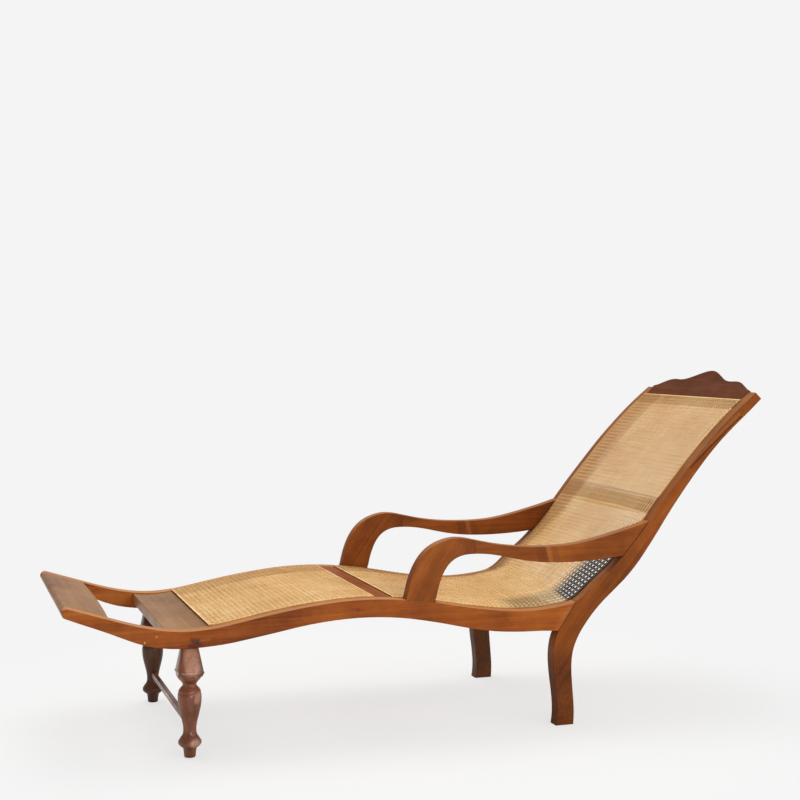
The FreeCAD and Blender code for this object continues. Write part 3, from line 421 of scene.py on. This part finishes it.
ARM_MARKS = [((1024, 505), (1024, 450), 0.3, 1.4, 0.7, DIRT_AND_SHADOW_LINE),
             ((1203, 474), (1213, 420), 6, 12, 0.6, DARK),
             ((1217, 470), (1229, 426), 0.3, 1.4, 0.7, DIRT_AND_SHADOW_LINE)]
REAR_ARM_MARKS = [((1217, 470), (1229, 426), 0.3, 1.4, 0.6, DIRT_AND_SHADOW_LINE),
                  ((1225, 474), (1236, 420), 4, 5, 0.35, PALE),
                  ((1242, 474), (1253, 420), 4, 12, 0.35, DARK),
                  ((1441, 434), (1517, 523), 0.5, 1.8, 0.7, DIRT_AND_SHADOW_LINE)]
# Painted highlights on the head, the ring and the belly, and painted shade
# on the neck under the head.
TURNED_HIGHLIGHTS_AND_SHADE = [((301, 218), (300, 246), 11, 12, 0.4, colour(216, 166, 140)),
                ((306, 36), (312, 38), 4, 10, 0.4, colour(220, 178, 152)),
                ((314, 140), (316, 150), 3, 9, 0.35, colour(214, 160, 136)),
                ((285, 182), (315, 182), 4, 8, 0.45, colour(52, 26, 14))]

rail_wood = hardwood("polished_rail_wood", SIDE_TONES, X_GRAIN, marks=RAIL_MARKS, lit_tops=0.6)
post_wood = hardwood("polished_post_wood", ARM_TONES, STILE_GRAIN, seed=0.31,
                     marks=POST_MARKS, lit_tops=0.25)
# Painted shade: the far post is the post wood, darkened low down.
shaded_post_wood = hardwood("shaded_far_post_wood", ARM_TONES, STILE_GRAIN, seed=0.39,
                         marks=FAR_POST_SHADE, lit_tops=0.25)
elbow_wood = hardwood("polished_elbow_wood", ARM_TONES, ELBOW_GRAIN, seed=0.57,
                      marks=ELBOW_MARKS, lit_tops=0.3)
arm_wood = hardwood("polished_arm_wood", ARM_TONES, X_GRAIN, seed=0.83,
                    marks=ARM_MARKS, lit_tops=0.3)
rear_arm_wood = hardwood("polished_rear_arm_wood", ARM_TONES, X_GRAIN, seed=0.97,
                         marks=REAR_ARM_MARKS, lit_tops=0.3)
board_wood = hardwood("rubbed_board_wood", BOARD_TONES, Y_GRAIN, seed=0.13, shine=0.3)
crest_wood = hardwood("dark_crest_wood", CREST_TONES, Y_GRAIN, seed=0.43, gloss=0.55, shine=0.03)
cross_wood = hardwood("cross_rail_wood", SIDE_TONES, Y_GRAIN, seed=0.71)
knee_wood = hardwood("knee_rail_wood", SIDE_TONES, Y_GRAIN, seed=0.37, gloss=0.5)
turned_wood = hardwood("turned_leg_wood", TURNED_TONES, Z_GRAIN, seed=0.23, gloss=0.32,
                       coat=0.3, shine=0.3, marks=TURNED_HIGHLIGHTS_AND_SHADE)
# Painted shade: the far front leg's darker finish.
shaded_turned_wood = hardwood("shaded_far_leg_wood", SHADED_LEG_TONES, Z_GRAIN, seed=0.29,
                           coat=0.1, shine=0.25)
peg_wood = hardwood("peg_end_wood", PEG_TONES, Y_GRAIN, seed=0.9, gloss=0.5)
pin_wood = hardwood("pin_end_wood", PIN_TONES, Y_GRAIN, seed=0.6, gloss=0.5)
# Of each cane's colours the fourth is painted shadow and the fifth painted shade.
cane_skin = cane("split_cane", colour(228, 178, 110), colour(246, 208, 146), colour(254, 230, 182),
                 colour(30, 20, 12), colour(186, 120, 62))
cane_pith_and_shade = cane("cane_edges", colour(168, 116, 60), colour(198, 144, 80), colour(224, 174, 108),
                 colour(18, 12, 8), colour(110, 62, 30))


# Sawn pieces.

# Faces that differ by less are one face.
SAME_WAY = math.radians(0.4)
SEAM = [(1305, 321), (1256, 247)]
ARM_JOINT = [(1217, 470), (1229, 426)]
ARM_JOINT_UPRIGHT = 1024
PEGS = [(1290, 276), (1501, 457)]
STILE_FRONT = [(1400, 396), (1441, 434), (1480, 476.5), (1517, 523)]


def near_line(point, line, reach):
    """Whether a point of the side view is near a line of corners."""
    flat = Vector((point.x, 0, point.z))
    for start, end in zip(line, line[1:]):
        first, last = at(*start), at(*end)
        run = last - first
        share = max(0.0, min(1.0, (flat - first).dot(run) / run.length_squared))
        if (first + run * share - flat).length < reach:
            return True
    return False


def on_face(point, *faces):
    """Whether a point lies on one of the planes that far to either side."""
    return any(abs(abs(point.y) - face) < NEAR for face in faces)


def eased(node, radius, keep):
    """A copy of a sawn piece, its arrises that pass the test eased to a radius in millimetres."""
    piece = copy_of(node, f"{node}_eased")
    bpy.ops.mesh.dissolve_limited(angle_limit=SAME_WAY)
    pick(piece, "EDGE", lambda edge: sharp(edge, 40) and keep(middle_of(edge)))
    bpy.ops.mesh.bevel(offset=radius * MM, segments=3, affect="EDGES", clamp_overlap=False)
    stop_edit()
    smoothed(35)
    apply_modifier(piece, "WEIGHTED_NORMAL", keep_sharp=True, weight=60)
    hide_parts(node)
    return piece


def clear_of_joints(point):
    """On a side face, and not at the seam or a peg, which have to stay tight."""
    if not on_face(point, INNER, OUTER) or near_line(point, SEAM, 1.5 * MM):
        return False
    flat = Vector((point.x, 0, point.z))
    return all((at(*peg) - flat).length > 6.5 * MM for peg in PEGS)


def clear_of_arm_joints(point):
    """On a side face, and not on the arm's foot, its two joints or its end at the stile."""
    if point.z < 352 * MM or near_line(point, STILE_FRONT, 2 * MM):
        return False
    if abs(point.x - at(ARM_JOINT_UPRIGHT, 0).x) < 1 * MM or near_line(point, ARM_JOINT, 1.5 * MM):
        return False
    return on_face(point, OUTER, ARM_INNER)


def clear_of_shoulders(point):
    """Between the side frames."""
    return abs(point.y) < INNER - NEAR


for side in ("left", "right"):
    rail = eased(f"side_rail_{side}", 2.2, clear_of_joints)
    finished(rail, rail_wood)
    post = eased(f"back_post_{side}", 2.2, clear_of_joints)
    finished(post, post_wood if side == "left" else shaded_post_wood)
    for stretch, wood in (("elbow", elbow_wood), ("middle", arm_wood), ("rear", rear_arm_wood)):
        arm = eased(f"arm_{stretch}_{side}", 3, clear_of_arm_joints)
        finished(arm, wood)

for node, slot, wood, radius in (
        ("foot_board", "board_hardwood", board_wood, 3),
        ("front_cross_board", "board_hardwood", board_wood, 2),
        ("knee_rail", "board_hardwood", knee_wood, 2),
        ("seat_rear_rail", "polished_hardwood", cross_wood, 1.5),
        ("back_mid_rail", "polished_hardwood", cross_wood, 1.5),
        ("crest_rail", "crest_hardwood", crest_wood, 2.5)):
    finished(eased(node, radius, clear_of_shoulders), wood)

for node in ("rail_post_pegs", "arm_pegs"):
    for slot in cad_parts[node].material_slots:
        slot.material = peg_wood


# Station and height of the pins, and the size and place of each, in millimetres.
PINS = [(191, 285), (219, 298)]
PIN_RADIUS = 2.4
PIN_LENGTH = 4
PIN_ACROSS = 303.5


def pin_end(name, station, height, side):
    """The domed end of a wooden pin, let into the outer face of a rail."""
    bpy.ops.object.select_all(action="DESELECT")
    bpy.ops.mesh.primitive_cylinder_add(vertices=20, radius=PIN_RADIUS * MM,
                                        depth=PIN_LENGTH * MM,
                                        rotation=(math.radians(90), 0, 0),
                                        location=at(station, height, side * PIN_ACROSS))
    pin = bpy.context.object
    pin.name = name
    bpy.ops.object.transform_apply(location=True, rotation=True, scale=True)
    start_edit(pin)
    pick(pin, "FACE", lambda face: face.normal.y * side > 0.9)
    bpy.ops.mesh.inset(thickness=0.9 * MM, depth=0.35 * MM)
    bpy.ops.mesh.inset(thickness=0.8 * MM, depth=0.12 * MM)
    stop_edit()
    smoothed(50)
    return pin


for side, way in (("left", -1), ("right", 1)):
    ends = [pin_end(f"rail_pins_{side}_{count}", station, height, way)
            for count, (station, height) in enumerate(PINS)]
    finished(joined(f"rail_pins_{side}", ends), pin_wood)


# Turned legs.

# The middle of a leg along and across, the foot of its square head, the stretch
# of the head whose corners are eased and its widest ridge, in millimetres.
LEG_MIDDLE = 300
LEG_ACROSS = 286
LEG_SHOULDER = 195.1
CORNER_FOOT, CORNER_TOP = 197, 262.5
HEAD_RIDGE = 205
BETWEEN_LEGS = 262
# Height and radius up the turning, in millimetres.
LEG_TURNING = [
    (0, 12.4), (1, 13.3), (3, 13.9), (8, 14.3), (14, 15), (20, 16), (23, 17), (24, 18.8),
    (26, 21.6), (29, 25), (32.5, 27.4), (36.5, 28.2), (40, 27.4), (42.5, 25.6), (43.8, 24.9),
    (47, 23), (51, 19.8), (55, 17.5), (60, 16.1), (67, 15.6), (75, 16.2), (85, 17.9), (95, 20.3),
    (106, 23.1), (117, 25.7), (127, 27.5), (137, 28.5), (146, 28.8), (152, 28.3), (154.6, 27.7),
    (155.6, 26.8), (156.8, 26.8), (157.8, 27.3), (161, 26.4), (164.5, 24.2), (168, 21.2),
    (171, 18.4), (173.5, 16.9), (175.5, 16.5), (178, 17.1), (181, 19), (184.5, 22), (188, 25.2),
    (191, 27.5), (193.5, 28.7), (195.05, 29.1)]


def turned_shaft(name, middle):
    """The turned part of a leg, drawn up ring by ring from its foot."""
    bpy.ops.object.select_all(action="DESELECT")
    height, radius = LEG_TURNING[0]
    bpy.ops.mesh.primitive_circle_add(vertices=56, radius=radius * MM, fill_type="NGON",
                                      location=middle + Vector((0, 0, height * MM)))
    piece = bpy.context.object
    piece.name = name
    bpy.ops.object.transform_apply(location=True, rotation=True, scale=True)
    bpy.ops.object.mode_set(mode="EDIT")
    bpy.ops.mesh.select_mode(type="FACE")
    bpy.ops.mesh.select_all(action="SELECT")
    for level, width in LEG_TURNING[1:]:
        step = {"value": (0, 0, (level - height) * MM)}
        bpy.ops.mesh.extrude_region_move(TRANSFORM_OT_translate=step)
        share = width / radius
        centre = middle + Vector((0, 0, level * MM))
        bpy.ops.transform.resize(value=(share, share, 1), center_override=centre)
        height, radius = level, width
    bpy.ops.mesh.select_all(action="SELECT")
    bpy.ops.mesh.normals_make_consistent(inside=False)
    stop_edit()
    smoothed(50)
    return piece


def leg_head(name, node):
    """The leg's square head, cut from a copy of the solid and eased."""
    piece = copy_of(node, name)
    bpy.ops.mesh.bisect(plane_co=(0, 0, LEG_SHOULDER * MM), plane_no=(0, 0, 1),
                        clear_inner=True, use_fill=True)
    bpy.ops.mesh.select_all(action="SELECT")
    bpy.ops.mesh.dissolve_limited(angle_limit=SAME_WAY)

    def on_a_corner(edge):
        """On an upright corner of the head or on its widest ridge."""
        point = middle_of(edge)
        if not sharp(edge, 15) or not CORNER_FOOT * MM < point.z < CORNER_TOP * MM:
            return False
        off_middle = abs(point.x - at(LEG_MIDDLE, 0).x)
        return off_middle > 18 * MM or abs(point.z - HEAD_RIDGE * MM) < 3 * MM

    pick(piece, "EDGE", on_a_corner)
    bpy.ops.mesh.bevel(offset=3.5 * MM, segments=3, affect="EDGES", clamp_overlap=False)
    stop_edit()
    smoothed(35)
    return piece


for side, across in (("left", -LEG_ACROSS), ("right", LEG_ACROSS)):
    node = f"front_leg_{side}"
    shaft = turned_shaft(f"{node}_turned", at(LEG_MIDDLE, 0, across))
    head = leg_head(f"{node}_head", node)
    leg = joined(f"{node}_turned", [shaft, head])
    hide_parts(node)
    finished(leg, turned_wood if side == "left" else shaded_turned_wood)

stretcher = eased("front_stretcher", 1.5, lambda point: abs(point.y) < BETWEEN_LEGS * MM)
finished(stretcher, turned_wood)


# Woven cane.

# Station and height of points on the top line of the side frames, in millimetres.
LEG_TOP = [
    (300, 305.5), (392, 314.6), (501.5, 335.1), (619.7, 351.5), (738, 357.5), (841, 350.5)]
SEAT_TOP = [
    (738, 357.5), (841, 350.5), (880.5, 345.8), (920, 339.5), (1015.4, 321.6), (1100.2, 309.3),
    (1185, 305), (1245, 309.2), (1305, 321), (1354, 358.9), (1400, 396.1), (1441, 434),
    (1480, 476.5), (1517, 523), (1557, 573.5), (1610, 636), (1664, 698), (1717, 753), (1763, 797),
    (1807, 834.5), (1836, 858)]
PAIRS = 43
HALF_WIDTH = 272 * MM
STRAND = 2.6 * MM
SKIN = 0.75 * MM
# Half the distance of the two strands of a pair, in pitches.
PAIR = 0.13
# From the frame's top line to the middle of the weave, and from there to the
# lengthwise strands of each pair and to the crosswise strands.
MID_CANE = 1.7 * MM
UNDER = -0.75 * MM
OVER = 0.75 * MM
CROSSWISE = 0.25 * MM
# The flat strip along each border: its line, thickness and width, and its loops.
BORDER = 271 * MM
BORDER_THICK = 3.1 * MM
BORDER_WIDE = 4.2 * MM
LOOP_REACH = (1.1 * MM, 3 * MM)
LOOP_FOOT, LOOP_TOP = 0.6 * MM, 2.3 * MM
# The strip across each end of a panel.
END_IN = 2.2 * MM
END_REACH = (2.1 * MM, 268.6 * MM)
END_FOOT, END_TOP = 0.9 * MM, 1.8 * MM
# How far the hollow of the seat draws the middle of each sheet off the frame, in
# millimetres along the sheet, and the share of that at each place across it.
LEG_RISE = [0, 1, 2, 2, 1, 0, 0]
SEAT_RISE = [0, 3, 8, 15, 22, 29, 30, 20, 7, 2, 1, 0.5, 0]
RISE_SHARES = [0, 0.34, 0.63, 0.83, 0.94, 0.99, 1, 1, 1, 1, 1, 0.99, 0.94, 0.83, 0.63, 0.34, 0]


def top_curve(name, knots):
    """A smooth curve along the top of the side frames, lifted to mid-cane."""
    line = bpy.data.curves.new(name, "CURVE")
    line.dimensions = "3D"
    line.twist_mode = "Z_UP"
    line.resolution_u = 10
    line.use_deform_bounds = False
    spline = line.splines.new("BEZIER")
    spline.bezier_points.add(len(knots) - 1)
    for point, knot in zip(spline.bezier_points, knots):
        point.co = at(*knot) + Vector((0, 0, MID_CANE))
        point.handle_left_type = point.handle_right_type = "AUTO"
    curve = bpy.data.objects.new(name, line)
    bpy.context.scene.collection.objects.link(curve)
    return curve


def run_along(curve, station):
    """How far along a curve a station lies."""
    bpy.context.view_layer.update()
    drawn = bpy.data.meshes.new_from_object(curve)
    points = [v.co.copy() for v in drawn.vertices]
    bpy.data.meshes.remove(drawn)
    target = at(station, 0).x
    done = 0.0
    for start, end in zip(points, points[1:]):
        if end.x >= target:
            return done + (end - start).length * (target - start.x) / (end.x - start.x)
        done += (end - start).length
    return done


def strand(name, start, length, across, thickness=SKIN, width=STRAND, lift=0.0):
    """One pitch of flat strand, open at both ends so that copies run on."""
    piece = block(name, (start, across - width / 2, lift - thickness / 2),
                  (start + length, across + width / 2, lift + thickness / 2))
    start_edit(piece)
    pick(piece, "EDGE", lambda edge: abs(edge.verts[0].co.x - edge.verts[1].co.x) > length / 2)
    bpy.ops.mesh.subdivide(number_cuts=1)
    pick(piece, "FACE", lambda face: abs(face.normal.x) > 0.9)
    bpy.ops.mesh.delete(type="FACE")
    stop_edit()
    return piece


def waved(piece, place, rise):
    """Lift the strand where it crosses another."""
    start_edit(piece, "VERT")
    pick(piece, "VERT", lambda corner: abs(corner.co.x - place) < NEAR)
    bpy.ops.transform.translate(value=(0, 0, rise))
    stop_edit()


def repeated(piece, count, offset):
    """Lay a piece out in a row, its copies grown together where they touch."""
    return apply_modifier(piece, "ARRAY", count=count, use_relative_offset=False,
                          use_constant_offset=True, constant_offset_displace=offset,
                          use_merge_vertices=True, merge_threshold=WELD)


def trimmed(piece, low, high):
    """Cut a sheet of strands off at its ends and sides and close what is cut."""
    start_edit(piece)
    for place, outward in (((low[0], 0, 0), (-1, 0, 0)), ((high[0], 0, 0), (1, 0, 0)),
                           ((0, low[1], 0), (0, -1, 0)), ((0, high[1], 0), (0, 1, 0))):
        bpy.ops.mesh.select_all(action="SELECT")
        bpy.ops.mesh.bisect(plane_co=place, plane_no=outward, clear_outer=True, use_fill=True)
    stop_edit()
    return piece


def bent(piece, curve):
    """Bend a flat sheet along the top line."""
    apply_modifier(piece, "CURVE", object=curve, deform_axis="POS_X")
    smoothed(40)


def drawn_up(sheet, start, end, rise):
    """Draw the middle of a flat sheet up with a cage, its sides left down."""
    bpy.ops.object.select_all(action="DESELECT")
    bpy.ops.object.add(type="LATTICE", location=((start + end) / 2, 0, 0))
    cage = bpy.context.object
    depth = 50 * MM
    cage.scale = (end - start, HALF_WIDTH * 2, depth)
    cage.data.points_u = len(rise)
    cage.data.points_v = len(RISE_SHARES)
    cage.data.points_w = 2
    cage.data.interpolation_type_v = "KEY_CATMULL_ROM"
    for count, point in enumerate(cage.data.points):
        along = rise[count % len(rise)]
        across = RISE_SHARES[count // len(rise) % len(RISE_SHARES)]
        point.co_deform.z += along * across * MM / depth
    bpy.context.view_layer.update()
    apply_modifier(sheet, "LATTICE", object=cage)
    bpy.data.objects.remove(cage)


def lengthwise(name, rows, pitch, start):
    """The pairs of strands that run the length of the panel."""
    low = -(PAIRS - 1) / 2 * PITCH
    crossing = start + pitch / 2
    under = strand(f"{name}_under", start, pitch, low - PAIR * PITCH, lift=UNDER)
    waved(under, crossing, -0.1 * MM)
    over = strand(f"{name}_over", start, pitch, low + PAIR * PITCH, lift=OVER)
    waved(over, crossing, 0.45 * MM)
    sheet = joined(name, [under, over])
    repeated(sheet, rows, (pitch, 0, 0))
    return repeated(sheet, PAIRS, (0, PITCH, 0))


def crosswise(name, rows, pitch, start):
    """The pairs of straight strands that run across."""
    low, high = CROSSWISE - SKIN / 2, CROSSWISE + SKIN / 2
    strips = []
    for side in (-1, 1):
        middle = start + pitch * (0.5 + side * PAIR)
        strip = block(f"{name}_{side + 1}", (middle - STRAND / 2, -HALF_WIDTH, low),
                      (middle + STRAND / 2, HALF_WIDTH, high))
        start_edit(strip)
        pick(strip, "EDGE", lambda edge: abs(edge.verts[0].co.y - edge.verts[1].co.y) > HALF_WIDTH)
        bpy.ops.mesh.subdivide(number_cuts=15)
        stop_edit()
        strips.append(strip)
    return repeated(joined(name, strips), rows, (pitch, 0, 0))


def edging(name, start, end, rows, pitch):
    """Flat cane laid over the borders of a sheet, with a loop at each pitch."""
    parts = []
    crossing = start + pitch / 2
    for side in (-1, 1):
        line = side * BORDER
        strip = strand(f"{name}_strip_{side + 1}", start, pitch, line, BORDER_THICK, BORDER_WIDE)
        along, across = LOOP_REACH
        loop = block(f"{name}_loop_{side + 1}", (crossing - along, line - across, LOOP_FOOT),
                     (crossing + along, line + across, LOOP_TOP))
        start_edit(loop)
        pick(loop, "FACE", lambda face: face.normal.z > 0.9)
        bpy.ops.transform.resize(value=(0.8, 0.72, 1), center_override=(crossing, line, 0))
        stop_edit()
        repeated(strip, rows, (pitch, 0, 0))
        start_edit(strip)
        bpy.ops.mesh.select_all(action="SELECT")
        bpy.ops.mesh.fill_holes(sides=0)
        stop_edit()
        parts += [strip, repeated(loop, rows, (pitch, 0, 0))]
    along, across = END_REACH
    for place in (start + END_IN, end - END_IN):
        parts.append(block(f"{name}_end", (place - along, -across, END_FOOT),
                           (place + along, across, END_TOP)))
    return joined(name, parts)


def diagonal(name, way, rows, pitch, start):
    """Single strands at a slant, over one set of pairs and under the other."""
    reach = PAIRS + 1
    low = -(PAIRS - 1) / 2 * PITCH
    piece = strand(name, 0, pitch, 0)
    waved(piece, pitch / 2, -1.2 * MM * way)
    start_edit(piece, "VERT")
    bpy.ops.mesh.select_all(action="SELECT")
    bpy.ops.transform.translate(value=(0, 0, 0.6 * MM * way))
    pick(piece, "VERT", lambda corner: corner.co.x > pitch * 0.75)
    bpy.ops.transform.translate(value=(0, PITCH * way, 0))
    pick(piece, "VERT", lambda corner: abs(corner.co.x - pitch / 2) < NEAR)
    bpy.ops.transform.translate(value=(0, PITCH / 2 * way, 0))
    bpy.ops.mesh.select_all(action="SELECT")
    bpy.ops.transform.translate(value=(start - reach * pitch, (low - PITCH) * way, 0))
    stop_edit()
    repeated(piece, reach + 1, (pitch, PITCH * way, 0))
    return repeated(piece, rows + reach, (pitch, 0, 0))


def woven(node, name, knots, front, rear, rise):
    """The strands of one panel, woven flat, drawn up and bent along the side frames."""
    curve = top_curve(f"{name}_line", knots)
    start, end = run_along(curve, front), run_along(curve, rear)
    rows = round((end - start) / PITCH)
    pitch = (end - start) / rows
    low, high = (start, -HALF_WIDTH), (end, HALF_WIDTH)
    long_strands = lengthwise(f"{name}_lengthwise", rows, pitch, start)
    cross_strands = crosswise(f"{name}_crosswise", rows, pitch, start)
    slants = [trimmed(diagonal(f"{name}_slant_{way + 1}", way, rows, pitch, start), low, high)
              for way in (-1, 1)]
    sheets = [long_strands, joined(f"{name}_slanted", [cross_strands, *slants])]
    border = edging(f"{name}_edging", start, end, rows, pitch)
    for sheet in (*sheets, border):
        # The strands show their glossy skin above and the darker pith elsewhere;
        # the pith's darkness is partly its own colour and partly painted shade in the gaps.
        finished(sheet, cane_skin, cane_pith_and_shade)
        start_edit(sheet)
        pick(sheet, "FACE", lambda face: face.normal.z < 0.5)
        sheet.active_material_index = 1
        bpy.ops.object.material_slot_assign()
        stop_edit()
        drawn_up(sheet, start, end, rise)
        bent(sheet, curve)
    for sheet in sheets:
        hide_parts(node)
    bpy.data.objects.remove(curve)


woven("leg_cane_panel", "leg_cane", LEG_TOP, front=349, rear=766, rise=LEG_RISE)
woven("seat_cane_panel", "seat_cane", SEAT_TOP, front=815, rear=1808.8, rise=SEAT_RISE)


# The studio.

FLOOR_RADIUS = 14
CAMERA_PLACE = (-1.26212, -3.727, 0.984)
CAMERA_DIP, CAMERA_TURN = 2.13, -18.40
WHITE = (1.0, 1.0, 1.0, 1.0)

bpy.ops.object.select_all(action="DESELECT")
bpy.ops.mesh.primitive_circle_add(vertices=96, radius=FLOOR_RADIUS, fill_type="NGON",
                                  location=(0, 0, 0))
floor = bpy.context.object
floor.name = "studio_floor"
BACK = colour(244, 244, 244)
# Near the chair the floor takes its shadow; further off it only glows, like the backdrop.
floor_shade = Shade(bpy.data.materials.new("pale_floor"))
ground = floor_shade.node("ShaderNodeTexCoord", output=3)
distance = floor_shade.vector("LENGTH", ground, output=1)
seen = floor_shade.node("ShaderNodeLightPath", output=0)
even = floor_shade.between(distance, 0.75, 1.5, 0.72, 1.0)
paint = floor_shade.node("ShaderNodeBsdfDiffuse", {}, {"Color": BACK})
glow = floor_shade.node("ShaderNodeEmission", {}, {"Color": BACK, "Strength": 1.0})
mixed = floor_shade.node("ShaderNodeMixShader", {}, {0: even * seen, 1: paint, 2: glow})
floor_shade.node("ShaderNodeOutputMaterial", {}, {"Surface": mixed}, output=None)
floor.data.materials.append(floor_shade.material)

world = bpy.data.worlds.new("studio")
bpy.context.scene.world = world
air = Shade(world)
# The room is lighter above and on the right than on the left.
towards = air.node("ShaderNodeTexCoord", output=0)
level = air.vector("DOT_PRODUCT", towards, (0.16, 0.0, 0.14), output=1) + 0.46
room = air.node("ShaderNodeBackground", {}, {"Color": WHITE, "Strength": level})
backdrop = air.node("ShaderNodeBackground", {}, {"Color": BACK, "Strength": 1.0})
rays = air.node("ShaderNodeLightPath", output=0)
choice = air.node("ShaderNodeMixShader", {}, {0: rays, 1: room, 2: backdrop})
air.node("ShaderNodeOutputWorld", {}, {"Surface": choice}, output=None)


def lamp(name, place, target, size, watts, tint):
    """A square lamp, its size in metres, that faces its target."""
    data = bpy.data.lights.new(name, "AREA")
    data.shape = "SQUARE"
    data.size = size
    data.energy = watts
    data.color = tint
    light = bpy.data.objects.new(name, data)
    bpy.context.scene.collection.objects.link(light)
    light.location = place
    light.rotation_euler = (Vector(target) - Vector(place)).to_track_quat("-Z", "Y").to_euler()


lamp("window_light", (-0.7, 1.2, 4.4), (0, 0, 0.3), 3.4, 125, (1.0, 0.985, 0.96))
lamp("front_fill", (2.4, -4.0, 2.4), (0.1, 0, 0.4), 2.6, 50, (1.0, 0.98, 0.95))
lamp("low_sheen", (0.1, -4.6, 0.8), (-0.4, 0, 0.3), 1.4, 60, (1.0, 0.96, 0.93))

eye = bpy.data.cameras.new("photo_view")
eye.lens = 65.57
eye.sensor_width = 36.0
view = bpy.data.objects.new("photo_view", eye)
bpy.context.scene.collection.objects.link(view)
view.location = CAMERA_PLACE
view.rotation_euler = (math.radians(90 - CAMERA_DIP), 0.0, math.radians(CAMERA_TURN))
bpy.context.scene.camera = view
bpy.context.scene.view_settings.view_transform = "Standard"
